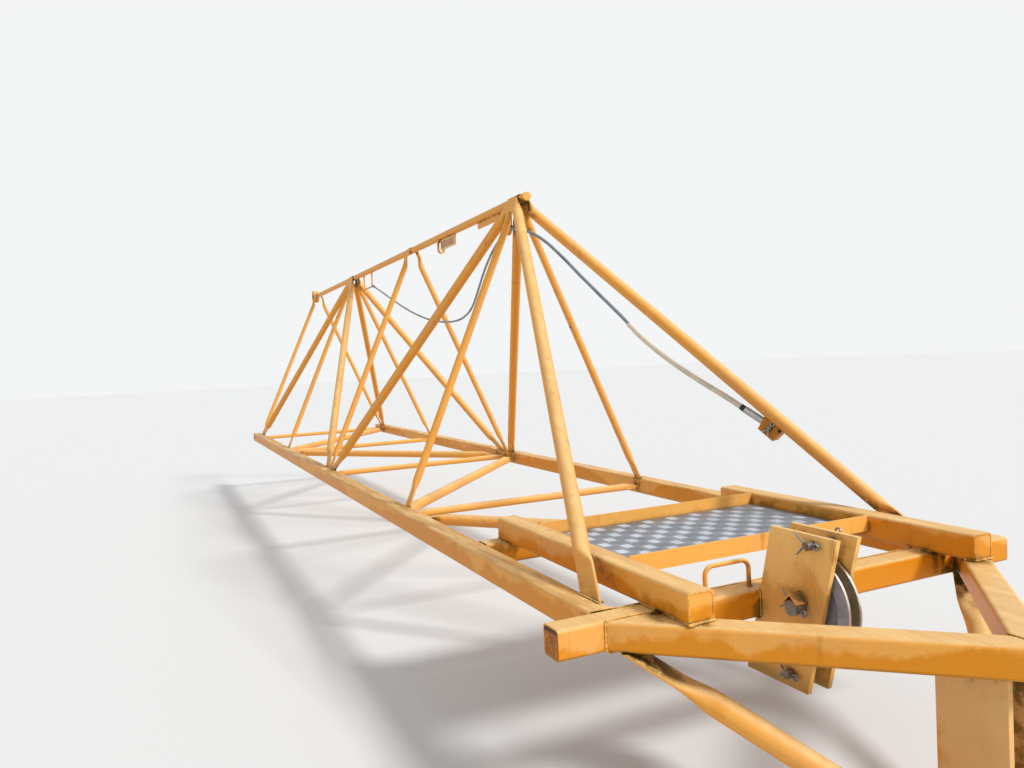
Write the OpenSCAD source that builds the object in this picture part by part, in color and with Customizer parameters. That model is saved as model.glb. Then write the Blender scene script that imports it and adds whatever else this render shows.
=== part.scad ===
// End section of a tower crane jib: a triangular tube lattice with one top
// chord, two box bottom chords, and a braced nose that carries the end sheave.
// X runs along the jib from the root to the nose, Z is up.
// The origin is the middle of the root face of the left bottom chord.

/* [Lattice] */
// Length of one lattice bay
bay = 1610; // [1300:10:1900]
// Distance between the centre lines of the two bottom chords
gauge = 1260; // [1100:10:1500]
// Height of the top chord's axis above the bottom chords' top faces
jib_h = 1360; // [1150:10:1600]
// Length of bottom chord behind the last lattice node
root_run = 200; // [180:5:300]

/* [Members] */
// Side of the square box section
box = 75; // [65:1:85]
// Outer corner radius of the box section
box_round = 11; // [6:1:16]
// Diameter of the top chord
top_d = 40; // [36:1:50]
// Diameter of the diagonal tubes
diag_d = 48; // [42:1:54]
// Diameter of the post and cross tubes
post_d = 34; // [30:1:40]
// Diameter of the tubes under the nose
nose_d = 60; // [50:1:66]
// Thickness of a flattened tube end
flat_t = 10; // [8:0.5:12]
// Reach of a flattened foot below the top of a bottom chord
tongue_drop = 30; // [25:1:31]

/* [Tip frame] */
// Distance from the first lattice node to the middle of the tip beam
beam_run = 110; // [100:1:125]
// Width across the ends of the tip beam
beam_w = 1580; // [1480:10:1700]
// Distance from the tip beam's middle to the point of the nose
nose_run = 662; // [600:2:720]
// Distance between the outer faces of the raking beams at the tip beam
rake_w = 1330; // [1250:5:1340]
// Distance between the inner faces of the deck rails
deck_w = 900; // [840:5:930]
// Length of the deck rails
rail_l = 1070; // [1000:5:1100]
// Reach of the deck rails past the tip beam's middle
rail_reach = 169; // [150:1:175]
// Leg of the deck's angle bars
angle_leg = 50; // [45:1:60]
// Thickness of the deck's angle bars
angle_t = 5; // [4:0.5:7]
// Thickness of the tread plate
tread_t = 4; // [3:0.5:5]
// Distance from the tip beam's middle back to the front angle bar
angle_back = 185; // [150:5:220]
// Distance between the two angle bars
deck_l = 541; // [480:1:580]
// Distance from the jib's centre plane to the middle of the hand hold
hold_off = 272; // [240:2:320]
// Width of the hand hold on the tip beam
hold_w = 142; // [120:1:160]
// Height of the hand hold
hold_h = 70; // [55:1:80]
// Diameter of the hand hold's bar
hold_d = 12; // [10:1:14]

/* [Sheave bracket] */
// Distance from the jib's centre plane to the middle of the bracket
bracket_off = 158; // [140:2:180]
// Diameter of the sheave
sheave_d = 260; // [240:2:270]
// Width of the sheave's rim
sheave_w = 40; // [36:1:44]
// Gap between the two bracket plates
plate_gap = 54; // [50:1:60]
// Thickness of the bracket plates
plate_t = 12; // [10:1:14]
// Width of the bracket plates along the jib
plate_w = 212; // [206:1:220]
// Height of the bracket plates
plate_h = 395; // [385:1:405]
// Height of the bracket plates' top edge above the tip beam's middle
plate_top = 210; // [200:1:220]
// Forward lean of the bracket plates from bottom to top
plate_lean = 107; // [100:1:112]
// Distance from the tip beam's middle to the axle
axle_reach = 178; // [175:1:185]
// Height of the axle above the tip beam's middle
axle_z = 30; // [24:1:36]
// Diameter of the sheave's axle
axle_d = 38; // [34:1:42]
// Diameter of the rope guard pins
guard_d = 22; // [18:1:24]

/* [Nose] */
// Depth of the nose cheeks below the raking beams
cheek_drop = 480; // [400:5:520]
// Width of the nose cheeks along the jib
cheek_w = 166; // [150:2:180]
// Distance from the point of the nose back to the rear edge of the cheeks
cheek_back = 243; // [230:1:260]
// Thickness of the nose cheeks
cheek_t = 15; // [12:1:18]
// Gap between the nose cheeks
cheek_gap = 60; // [50:1:70]
// Diameter of the anchor hole through the nose cheeks
anchor_d = 40; // [30:1:50]

/* [Root] */
// Outer diameter of the top eye
eye_d = 120; // [110:1:130]
// Bore of the top eye
eye_bore = 50; // [40:1:56]
// Thickness of the top eye
eye_t = 50; // [40:1:60]
// Bore through the root end of each bottom chord
root_bore = 40; // [30:1:44]

/* [Lifeline] */
// Diameter of the sleeve on the lifeline
sleeve_d = 22; // [18:1:26]
// Diameter of the lifeline
line_d = 15; // [12:1:18]
// Diameter of the slack rope behind the apex
slack_d = 12; // [8:1:14]
// Width of the clevis along its diagonal
clevis_w = 90; // [80:2:110]
// Distance from the diagonal's axis to the clevis pin
clevis_deep = 45; // [42:1:50]
// Gap between the cheeks of the clevis
clevis_gap = 30; // [28:1:34]
// Diameter of the clevis pin
clevis_pin_d = 16; // [12:1:18]
// Diameter of the socket on the clevis pin
socket_d = 28; // [24:1:30]

/* [Hidden] */
$fn = 48;

bays = 4;
seat = 0.3;           // gap left between welded pieces
axle_play = 0.05;     // radial clearance of the sheave on its axle
big = 3000;           // side of the blocks that trim the tube ends

paint = [0.93, 0.70, 0.30];
steel = [0.62, 0.63, 0.64];
sheave_grey = [0.40, 0.41, 0.44];
aluminium = [0.70, 0.71, 0.74];
cream = [0.86, 0.84, 0.76];
rope_grey = [0.36, 0.37, 0.38];
rubber = [0.12, 0.12, 0.12];

mid_y = gauge / 2;                       // the jib's centre plane
chord_top = box / 2;
top_z = chord_top + jib_h;
inner_y = gauge / 2 - box / 2;           // half gap between the bottom chords

// Lattice nodes are counted back from the nose, 0 to bays.
function node_x(i) = root_run + (bays - i) * bay;

spread = 75;          // distance between tube ends that meet on a side face
bottom_spread = 90;   // distance between tube ends that meet in the bottom plane
first_back = 26;      // first feet sit this far behind the first node
foot_in = 8;          // side tubes aim this far inside a bottom chord's axis
head_out = 8;         // and this far outside the top chord's axis
brace_z = 0;          // height of the tubes between the bottom chords
wide = 0.72;          // half width of a flattened end, as a share of the diameter
flat_run = 30;        // flat stretch of a tube above its foot
past = 14;            // extra length that is trimmed to the seat
eye_x = root_run - 50;
neck = 12;
top_end = node_x(1) + 105;
eye_clear = 100;      // the last posts meet the top chord this far before the last node
beam_x = node_x(0) + beam_run;
rear_x = beam_x + rail_reach - rail_l + box / 2 - 20;
rail_z = chord_top + seat + box / 2;

function unit(v) = v / norm(v);
function side_y(side, away) = mid_y + side * away;
function square_to(n, e) = unit(n - (n * e) * e);

// A side tube's axis runs from the top chord's axis toward a bottom chord's top face.
function head_at(side, x) = [x, side_y(side, head_out), top_z];
function foot_at(side, x) = [x, side_y(side, gauge / 2 - foot_in), chord_top];
post_half = post_d * wide;               // half width of a post's flattened end

// Square tube with round corners, standing on Z
module box_profile(w, h, r) {
    square([w - 2 * r, h], center = true);
    square([w, h - 2 * r], center = true);
    for (i = [-1, 1], j = [-1, 1])
        translate([i * (w / 2 - r), j * (h / 2 - r)]) circle(r, $fn = 24);
}

// Box bar along X from its start face
module box_x(length) {
    rotate([90, 0, 90]) linear_extrude(length) box_profile(box, box, box_round);
}

// Box bar along Y from its start face
module box_y(length) {
    rotate([-90, 0, 0]) linear_extrude(length) box_profile(box, box, box_round);
}

// Turns Z along the line from p to q, with Y as close as it can be to n
module along(p, q, n) {
    ez = unit(q - p);
    ey = square_to(n, ez);
    ex = cross(ey, ez);
    multmatrix([
        [ex.x, ey.x, ez.x, p.x],
        [ex.y, ey.y, ez.y, p.y],
        [ex.z, ey.z, ez.z, p.z],
        [0, 0, 0, 1]
    ]) children();
}

// Flattened tube end: flat over tip, then blending into the round tube.
// It is flared in X, thinned in Y and rounded off by a cone.
module flat_end(d, tip, run) {
    half = d * wide;
    intersection() {
        cylinder(h = run, r1 = d * 1.1, r2 = d / 2);
        rotate([90, 0, 0]) linear_extrude(3 * d, center = true)
            polygon([[-half, 0], [half, 0], [d / 2, run], [-d / 2, run]]);
        rotate([90, 0, 90]) linear_extrude(3 * d, center = true)
            polygon([[-flat_t / 2, 0], [flat_t / 2, 0], [flat_t / 2, tip], [d / 2, run],
                     [-d / 2, run], [-flat_t / 2, tip]]);
    }
}

// Round tube from p to q, flattened at both ends square to n
module flat_ended_tube(p, q, d, n, tip_p = 30, tip_q = 30) {
    length = norm(q - p);
    run_p = tip_p + 2 * d;
    run_q = tip_q + 2 * d;
    along(p, q, n) {
        flat_end(d, tip_p, run_p);
        translate([0, 0, run_p]) cylinder(d = d, h = length - run_p - run_q);
        translate([0, 0, length]) mirror([0, 0, 1]) flat_end(d, tip_q, run_q);
    }
}

// Tube of one side face, from the top chord down to a flat tongue that lies on a
// bottom chord's inner face, kept between x0 and x1
module side_tube(side, head_x, foot_x, d, x0 = -big, x1 = 4 * big) {
    p = head_at(side, head_x);
    f = foot_at(side, foot_x);
    seat_y = inner_y - seat;
    knee = p + (f - p) * (seat_y - flat_t / 2 - head_out) / (gauge / 2 - foot_in - head_out);
    lean = (f.x - p.x) / (f.z - p.z);
    reach = d * wide * norm([1, lean]);
    low = chord_top - tongue_drop;
    low_x = knee.x + lean * (low - knee.z);
    intersection() {
        union() {
            difference() {
                flat_ended_tube(p, knee + past * unit(f - p), d, cross([1, 0, 0], f - p),
                                top_d / 2 + 25, flat_run + past);
                translate([0, mid_y, top_z]) rotate([0, 90, 0])
                    cylinder(d = top_d + 2 * seat, h = node_x(0) + big);
                translate([-big, -big, top_z]) cube([4 * big, 3 * big, big]);
                translate([-big, side_y(side, seat_y) - (side > 0 ? 0 : big), -big])
                    cube([4 * big, big, 2 * big]);
            }
            translate([0, side_y(side, seat_y - flat_t / 2) + flat_t / 2, 0]) rotate([90, 0, 0])
                linear_extrude(flat_t)
                    polygon([[knee.x - reach, knee.z], [knee.x + reach, knee.z],
                             [low_x + reach, low], [low_x - reach, low]]);
        }
        translate([x0, -big, -big]) cube([x1 - x0, 2 * big + gauge, 2 * big]);
    }
}

// Tube in the bottom plane between two points on the chords' inner faces
module bottom_tube(p, q, d, tip) {
    e = unit(q - p) * tip;
    difference() {
        flat_ended_tube(p - e, q + e, d, [0, 0, 1], 2 * tip, 2 * tip);
        for (side = [-1, 1])
            translate([-big, side_y(side, inner_y - seat) - (side > 0 ? 0 : big), -big])
                cube([4 * big, big, 2 * big]);
    }
}

module bottom_chord(side) {
    y = side_y(side, gauge / 2);
    difference() {
        translate([0, y, 0]) box_x(beam_x - box / 2 - seat);
        translate([eye_x / 2, y - box, 0]) rotate([-90, 0, 0]) cylinder(d = root_bore, h = 2 * box);
    }
}

module left_bottom_chord() {
    color(paint) bottom_chord(-1);
}

module right_bottom_chord() {
    color(paint) bottom_chord(1);
}

module top_chord() {
    x = eye_x + eye_d / 2 + neck + seat;
    color(paint)
        translate([x, mid_y, top_z]) rotate([0, 90, 0]) cylinder(d = top_d, h = top_end - x);
}

// Thick round eye with a short neck that the top chord is welded to
module top_eye() {
    color(paint)
        translate([eye_x, mid_y, top_z]) difference() {
            union() {
                rotate([90, 0, 0]) cylinder(d = eye_d, h = eye_t, center = true);
                rotate([0, 90, 0]) cylinder(d = top_d, h = eye_d / 2 + neck);
            }
            rotate([90, 0, 0]) cylinder(d = eye_bore, h = 2 * eye_t, center = true);
        }
}

module posts(side) {
    for (i = [1 : bays])
        side_tube(side, node_x(i) + (i == bays ? eye_clear : 0), node_x(i), post_d);
}

module left_posts() {
    color(paint) posts(-1);
}

module right_posts() {
    color(paint) posts(1);
}

// Diagonals that fall toward the nose, cut clear of the posts they meet
module forward_diagonals(side) {
    clear = post_half + seat;
    side_tube(side, node_x(1), node_x(0) - first_back, diag_d, node_x(1) + clear);
    side_tube(side, node_x(3), node_x(2) - spread, diag_d, node_x(3) + clear, node_x(2) - clear);
}

module left_forward_diagonals() {
    color(paint) forward_diagonals(-1);
}

module right_forward_diagonals() {
    color(paint) forward_diagonals(1);
}

// Diagonals that fall toward the root
module rear_diagonals(side) {
    clear = post_half + seat;
    for (i = [1, 3])
        side_tube(side, node_x(i), node_x(i + 1) + spread, diag_d, node_x(i + 1) + clear, node_x(i) - clear);
}

module left_rear_diagonals() {
    color(paint) rear_diagonals(-1);
}

module right_rear_diagonals() {
    color(paint) rear_diagonals(1);
}

module cross_tubes() {
    color(paint)
        for (i = [1 : bays])
            bottom_tube([node_x(i), side_y(-1, inner_y), brace_z],
                        [node_x(i), side_y(1, inner_y), brace_z], post_d, past);
}

// Bottom tubes that run from the left chord back to the right chord
module bottom_diagonals() {
    color(paint)
        for (i = [1, 3])
            bottom_tube([node_x(i) - bottom_spread, side_y(-1, inner_y), brace_z],
                        [node_x(i + 1) + bottom_spread, side_y(1, inner_y), brace_z], diag_d, 60);
}

// Bottom tubes that run forward from the left chord; the first stops at the rear beam
module bottom_diagonals_return() {
    color(paint)
        difference() {
            for (i = [1, 3])
                bottom_tube([node_x(i) + bottom_spread, side_y(-1, inner_y), brace_z],
                            [node_x(i - 1) - bottom_spread, side_y(1, inner_y), brace_z], diag_d, 60);
            translate([rear_x - box / 2 - seat, -big, -big]) cube([2 * big, 2 * big + gauge, 2 * big]);
        }
}

module tip_beam() {
    color(paint) translate([beam_x, mid_y - beam_w / 2, 0]) box_y(beam_w);
}

module rear_beam() {
    length = 2 * (inner_y - seat);
    color(paint) translate([rear_x, mid_y - length / 2, 0]) box_y(length);
}

module deck_rail(side) {
    translate([beam_x + rail_reach - rail_l, side_y(side, deck_w / 2 + box / 2), rail_z]) box_x(rail_l);
}

module left_deck_rail() {
    color(paint) deck_rail(-1);
}

module right_deck_rail() {
    color(paint) deck_rail(1);
}

// Angle bar across the deck; its foot points along X by turn
module deck_angle(x, turn) {
    top = rail_z + box / 2;
    length = deck_w - 2 * seat;
    translate([x, mid_y + length / 2, top - angle_leg]) rotate([90, 0, 0]) linear_extrude(length)
        polygon([[0, 0], [turn * angle_leg, 0], [turn * angle_leg, angle_t], [turn * angle_t, angle_t],
                 [turn * angle_t, angle_leg], [0, angle_leg]]);
}

front_angle_x = beam_x - angle_back;
rear_angle_x = front_angle_x - deck_l;

module front_deck_angle() {
    color(paint) deck_angle(front_angle_x, -1);
}

module rear_deck_angle() {
    color(paint) deck_angle(rear_angle_x, 1);
}

module tread_plate() {
    z = rail_z + box / 2 - angle_leg + angle_t + seat;
    x = rear_angle_x + angle_t + seat;
    width = deck_w - 2 * seat;
    color(aluminium)
        translate([x, mid_y - width / 2, z]) cube([front_angle_x - angle_t - seat - x, width, tread_t]);
}

// Round bar bent to a hoop that stands on the XY plane, with its feet along Y
module bent_bar(w, h, d) {
    r = 2 * d;
    for (s = [0, 1]) translate([0, s * w, 0]) cylinder(d = d, h = h - r, $fn = 24);
    translate([0, r, h]) rotate([-90, 0, 0]) cylinder(d = d, h = w - 2 * r, $fn = 24);
    translate([0, r, h - r]) rotate([90, 0, -90]) rotate_extrude(angle = 90, $fn = 24)
        translate([r, 0]) circle(d = d, $fn = 24);
    translate([0, w - r, h - r]) rotate([90, 0, 90]) rotate_extrude(angle = 90, $fn = 24)
        translate([r, 0]) circle(d = d, $fn = 24);
}

module hand_hold() {
    color(paint)
        translate([beam_x, mid_y - hold_off - hold_w / 2, chord_top + seat]) bent_bar(hold_w, hold_h, hold_d);
}

rake_x = beam_x + box / 2 + seat;
nose_x = beam_x + nose_run;
rake_angle = atan2(rake_w / 2, nose_x - rake_x);

// Box bar from the tip beam's front face to the jib's centre plane
module raking_beam(side) {
    intersection() {
        translate([rake_x, side_y(side, rake_w / 2), 0]) rotate([0, 0, -side * rake_angle])
            translate([-big / 2, -side * box / 2, 0]) box_x(big);
        translate([rake_x, mid_y + (side > 0 ? seat / 2 : -seat / 2 - big), -box]) cube([big, big, 2 * box]);
    }
}

module left_raking_beam() {
    color(paint) raking_beam(-1);
}

module right_raking_beam() {
    color(paint) raking_beam(1);
}

cheek_x = nose_x - cheek_back;
cheek_edge = 168;     // the anchor hole sits this far above the cheek's lower edge
cheek_top = -box / 2 - seat;

module nose_cheek(side) {
    y = side > 0 ? mid_y + cheek_gap / 2 : mid_y - cheek_gap / 2 - cheek_t;
    difference() {
        translate([cheek_x, y, cheek_top - cheek_drop]) cube([cheek_w, cheek_t, cheek_drop]);
        translate([cheek_x + cheek_w / 2, y - cheek_t, cheek_top - cheek_drop + cheek_edge])
            rotate([-90, 0, 0]) cylinder(d = anchor_d, h = 3 * cheek_t);
    }
}

module left_nose_cheek() {
    color(paint) nose_cheek(-1);
}

module right_nose_cheek() {
    color(paint) nose_cheek(1);
}

tube_in = 58;         // nose tubes start this far inside the raking beams' outer corners
tube_edge = 40;       // and end this far behind the cheeks' front edges
tube_up = 35;         // and this far above their lower edges
tube_flat = 110;      // flat stretch at the upper end of a nose tube

// Tube from under the root of a raking beam down to the foot of a nose cheek
module nose_tube(side) {
    face = cheek_gap / 2 + cheek_t + seat;
    p = [rake_x, side_y(side, rake_w / 2 - tube_in), cheek_top];
    q = [cheek_x + cheek_w - tube_edge, side_y(side, face), cheek_top - cheek_drop + tube_up];
    e = unit(q - p) * nose_d;
    difference() {
        flat_ended_tube(p - e, q + e, nose_d, [0, 0, 1], tube_flat + nose_d, tube_edge + nose_d);
        translate([-big, -big, cheek_top]) cube([4 * big, 3 * big, big]);
        translate([-big, side_y(side, face) - (side > 0 ? big : 0), -big]) cube([4 * big, big, 2 * big]);
    }
}

module left_nose_tube() {
    color(paint) nose_tube(-1);
}

module right_nose_tube() {
    color(paint) nose_tube(1);
}

bracket_y = mid_y - bracket_off;
plate_x = beam_x + box / 2 + seat + plate_lean * (plate_top - box / 2) / plate_h;
axle_at = [beam_x + axle_reach, axle_z];
guard_top_at = axle_at + [44, 157];
guard_low_at = axle_at + [-38, -178];

// Leaning plate, drawn in the XZ plane and notched round the tip beam
module sheave_plate(side) {
    y = side > 0 ? bracket_y + plate_gap / 2 + plate_t : bracket_y - plate_gap / 2;
    notch = box / 2 + seat;
    translate([0, y, 0]) rotate([90, 0, 0]) linear_extrude(plate_t)
        difference() {
            polygon([[plate_x, plate_top], [plate_x + plate_w, plate_top],
                     [plate_x + plate_w - plate_lean, plate_top - plate_h],
                     [plate_x - plate_lean, plate_top - plate_h]]);
            translate([beam_x - 2 * box, -notch]) square([2 * box + notch, 2 * notch]);
            translate(axle_at) circle(d = axle_d + 2 * seat);
            for (at = [guard_top_at, guard_low_at]) translate(at) circle(d = guard_d + 2 * seat);
        }
}

module left_sheave_plate() {
    color(paint) sheave_plate(-1);
}

module right_sheave_plate() {
    color(paint) sheave_plate(1);
}

// Turned wheel with a long hub, a thin web and a deep round groove
module sheave() {
    r = sheave_d / 2;
    hub_wall = 22;
    hub = axle_d / 2 + hub_wall;
    half = sheave_w / 2;
    web = 7;
    flange = 34;
    bevel = 16;
    lip = 5;
    groove = 24;
    color(sheave_grey)
        translate([axle_at.x, bracket_y, axle_at.y]) rotate([90, 0, 0]) rotate_extrude($fn = 96)
            difference() {
                union() {
                    translate([axle_d / 2 + axle_play, -plate_gap / 2 + seat])
                        square([hub_wall, plate_gap - 2 * seat]);
                    translate([hub - 1, -web]) square([r - hub - flange + bevel, 2 * web]);
                    polygon([[r - flange - bevel, -web], [r - flange, -half], [r, -half], [r, half],
                             [r - flange, half], [r - flange - bevel, web]]);
                }
                polygon([[r + 1, -half + lip], [r + 1, half - lip], [r - groove, 9], [r - groove - 4, 5],
                         [r - groove - 6, 0], [r - groove - 4, -5], [r - groove, -9]]);
            }
}

module cross_pin(at, d, out) {
    half = plate_gap / 2 + plate_t + out;
    translate([at.x, bracket_y + half, at.y]) rotate([90, 0, 0]) cylinder(d = d, h = 2 * half);
}

module sheave_axle() {
    color(steel) cross_pin(axle_at, axle_d, 34);
}

module rope_guard_pins() {
    color(steel) {
        cross_pin(guard_top_at, guard_d, 22);
        cross_pin(guard_low_at, guard_d, 22);
    }
}

// Short angle bar that roofs the axle on the left plate
module axle_keeper() {
    leg = 34;
    y = bracket_y - plate_gap / 2 - plate_t - seat;
    color(paint)
        translate([axle_at.x, y, axle_at.y + axle_d / 2 + 12]) rotate([90, 0, 0]) linear_extrude(36)
            rotate(-135) translate([-5, -5]) {
                square([leg, 5]);
                square([5, leg]);
            }
}

// The lifeline leaves a clevis under the right first diagonal, with its place there
// given as a share of the diagonal's length.
clevis_share = 0.73;
clevis_t = 8;
clevis_tip = 33;      // depth of the clevis below its pin
first_head = head_at(1, node_x(1));
first_foot = foot_at(1, node_x(0) - first_back);
clevis_e = unit(first_foot - first_head);
clevis_down = square_to([0, 0, -1], clevis_e);
clevis_side = cross(clevis_down, clevis_e);
clevis_at = first_head + clevis_share * (first_foot - first_head);
pin_at = clevis_at + clevis_deep * clevis_down;

socket_l = 122;       // distance from the clevis pin to the socket's mouth
ferrule_gap = 0.5;
ferrule_wall = 3;
lug_t = 8;

// The apex lug hangs under the top chord, behind the first posts.
apex_x = node_x(1) - 104;
apex_w = 60;
apex_drop = 114;      // reach of the apex lug below the top chord's axis
rope_z = top_z - 112.5;                  // height at which the ropes meet the apex lug
front_tie = [apex_x + apex_w / 2, mid_y, rope_z];
middle_tie = [apex_x - apex_w / 2, mid_y, rope_z];

// The hoop that holds the slack rope's far end
loop_x = node_x(3) + 340;
loop_w = 240;
loop_drop = 106;
loop_d = 12;
rear_tie = [loop_x + loop_w, mid_y, top_z - 120.5];

// Each point of a rope is a share of the straight line between its two ends, then its
// distance in Y and in Z from that line.
function strung(a, b, points) = [for (t = points) a + t[0] * (b - a) + [0, t[1], t[2]]];

// The sleeve starts at this offset from the clevis pin
sleeve_start = pin_at + [-111.1, -47.1, 74.4];
sleeve_points = [
    [0, 0, 0], [0.0311, 0.5, -4.1], [0.0622, 0.9, -9.3], [0.0933, 1.3, -15.4], [0.1244, 1.7, -21.6],
    [0.1555, 2.1, -26.8], [0.1866, 2.5, -31.9], [0.2177, 2.9, -36.1], [0.2489, 3.3, -39.3],
    [0.28, 3.8, -41.5], [0.3111, 4.2, -42.6], [0.3422, 4.6, -41.8], [0.3733, 4, -38.9],
    [0.4053, 4.7, -33.8], [0.4364, 5.1, -25]
];
line_points = [
    [0.4364, 5.1, -25], [0.4675, 5.6, -16.2], [0.4986, 6, -10.3], [0.5306, 6.7, -4.2],
    [0.5627, 6.5, 1.8], [0.5919, 7.2, 8.2], [0.6212, 6.9, 14.6], [0.6505, 6.6, 20.9],
    [0.6789, 6.9, 28.1], [0.7081, 7.5, 35.5], [0.7374, 7.2, 41.9], [0.7667, 6.9, 48.2],
    [0.7969, 7, 52.8], [0.828, 6.4, 54.7], [0.8591, 5.8, 52.5], [0.892, 3.9, 46.8], [0.9259, 2.4, 36.3],
    [0.9597, 1.9, 21.9]
];
slack_points = [
    [0.016, 0, -14.9], [0.0383, 0, -37.7], [0.0623, 0, -66.5], [0.0862, 0, -101.3], [0.1081, 0, -141.1],
    [0.1281, 0, -184], [0.148, 0, -231.8], [0.168, 0, -279.7], [0.1879, 0, -321.5], [0.2119, 0, -352.3],
    [0.2398, 0, -373.1], [0.2717, 0, -384.8], [0.3057, 0, -388.6], [0.3416, 0, -386.3],
    [0.3795, 0, -380], [0.4214, 0, -369.6], [0.4653, 0, -354.3], [0.5132, 0, -333.9],
    [0.565, 0, -306.5], [0.6209, 0, -274], [0.6808, 0, -234.6], [0.7446, 0, -189], [0.8125, 0, -138.5],
    [0.8803, 0, -87], [0.9322, 0, -47.5], [0.9777, 0, -13.2]
];
sleeve_route = strung(sleeve_start, front_tie, sleeve_points);
line_route = strung(sleeve_start, front_tie, line_points);
slack_route = strung(middle_tie, rear_tie, slack_points);
cord_sides = 10;

// Ring of points round point i of a route, square to it
function ring_at(route, i, d) =
    let (ahead = unit(route[min(i + 1, len(route) - 1)] - route[max(i - 1, 0)]),
         a = square_to([0, 1, 0], ahead),
         b = cross(ahead, a))
    [for (k = [0 : cord_sides - 1])
        route[i] + d / 2 * (cos(360 * k / cord_sides) * a + sin(360 * k / cord_sides) * b)];

// Plain rope along a route
module rope(route, d) {
    n = len(route);
    m = cord_sides;
    polyhedron(
        points = [for (i = [0 : n - 1]) each ring_at(route, i, d)],
        faces = concat(
            [[for (k = [0 : m - 1]) k]],
            [[for (k = [m - 1 : -1 : 0]) (n - 1) * m + k]],
            [for (i = [0 : n - 2], k = [0 : m - 1])
                [i * m + k, (i + 1) * m + k, (i + 1) * m + (k + 1) % m, i * m + (k + 1) % m]]
        )
    );
}

// Channel with two cheeks, closed at its front end and coped to the diagonal
module lifeline_clevis() {
    deep = clevis_deep + clevis_tip;
    outer = clevis_gap / 2 + clevis_t;
    color(paint)
        along(clevis_at, first_foot, clevis_down) difference() {
            intersection() {
                translate([-outer, 0, -clevis_w / 2]) cube([2 * outer, deep, clevis_w]);
                rotate([90, 0, 90]) linear_extrude(3 * outer, center = true)
                    polygon([[0, -clevis_w / 2], [0, clevis_w / 2], [deep, clevis_w / 2 - 10],
                             [deep, -clevis_w / 2 + 10]]);
            }
            translate([-clevis_gap / 2, -1, -clevis_w]) cube([clevis_gap, deep + 2, 1.5 * clevis_w - 20]);
            translate([0, 0, -clevis_w]) cylinder(d = diag_d + 2 * seat, h = 2 * clevis_w);
            translate([-2 * outer, clevis_deep, 0]) rotate([0, 90, 0])
                cylinder(d = clevis_pin_d + 2 * seat, h = 4 * outer);
        }
}

// Pin with a flat head on its far side
module clevis_pin() {
    out = 12;
    head = 5;
    half = clevis_gap / 2 + clevis_t;
    color(steel)
        along(clevis_at, first_foot, clevis_down) translate([0, clevis_deep, 0]) rotate([0, 90, 0]) {
            translate([0, 0, -half - out]) cylinder(d = clevis_pin_d, h = 2 * half + out + seat);
            translate([0, 0, half + seat]) cylinder(d = clevis_pin_d + 10, h = head);
        }
}

// Socket with an eye on the clevis pin
module lifeline_socket() {
    eye_w = clevis_gap - 8;
    eye_l = 26;
    color(steel)
        along(pin_at, sleeve_route[0], clevis_side) difference() {
            union() {
                translate([0, 0, eye_l]) cylinder(d = socket_d, h = socket_l - eye_l);
                rotate([90, 0, 0]) cylinder(d = clevis_pin_d + 18, h = eye_w, center = true);
                translate([-socket_d / 2 + 3, -eye_w / 2, 0]) cube([socket_d - 6, eye_w, eye_l + 4]);
            }
            rotate([90, 0, 0]) cylinder(d = clevis_pin_d + 1, h = 2 * clevis_gap, center = true);
        }
}

module socket_collar() {
    mouth = pin_at + (socket_l + seat) * unit(sleeve_route[0] - pin_at);
    color(rubber)
        along(mouth, sleeve_route[0], clevis_side)
            cylinder(d = sleeve_d + 2, h = norm(sleeve_route[0] - mouth) - 2 * ferrule_gap);
}

module lifeline_sleeve() {
    color(cream) rope(sleeve_route, sleeve_d);
}

module lifeline() {
    color(rope_grey) rope(line_route, line_d);
}

module slack_rope() {
    color(rope_grey) rope(slack_route, slack_d);
}

module apex_lug() {
    top = top_z - top_d / 2 - seat;
    low = top_z - apex_drop;
    color(paint)
        translate([apex_x, mid_y + lug_t / 2, 0]) rotate([90, 0, 0]) linear_extrude(lug_t)
            difference() {
                union() {
                    translate([-apex_w / 2, low]) square([apex_w, top - low]);
                    translate([0, low]) circle(d = apex_w);
                }
                translate([0, low]) circle(d = apex_w / 2 - 6);
            }
}

module front_ferrule() {
    last = line_route[len(line_route) - 1];
    color(steel) difference() {
        along(last, front_tie, [0, 0, 1]) translate([0, 0, ferrule_gap])
            cylinder(d = line_d + 2 * ferrule_wall, h = norm(last - front_tie) + line_d);
        translate([front_tie.x - big + seat, -big, -big]) cube([big, 2 * big, 2 * big]);
    }
}

module middle_ferrule() {
    color(steel) difference() {
        along(slack_route[0], middle_tie, [0, 0, 1]) translate([0, 0, ferrule_gap])
            cylinder(d = slack_d + 2 * ferrule_wall, h = norm(slack_route[0] - middle_tie) + slack_d);
        translate([middle_tie.x - seat, -big, -big]) cube([big, 2 * big, 2 * big]);
    }
}

// Hoop of round bar that hangs from the top chord
module rear_loop() {
    color(paint)
        translate([loop_x, mid_y, top_z - top_d / 2 - seat]) rotate([180, 0, 0]) rotate([0, 0, -90])
            bent_bar(loop_w, loop_drop, loop_d);
}

module rear_ferrule() {
    last = slack_route[len(slack_route) - 1];
    color(steel) difference() {
        along(last, rear_tie, [0, 0, 1]) translate([0, 0, ferrule_gap])
            cylinder(d = slack_d + 2 * ferrule_wall, h = norm(last - rear_tie) - ferrule_gap);
        translate([rear_tie.x, rear_tie.y, 0]) cylinder(d = loop_d + 2 * seat, h = top_z);
    }
}

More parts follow.
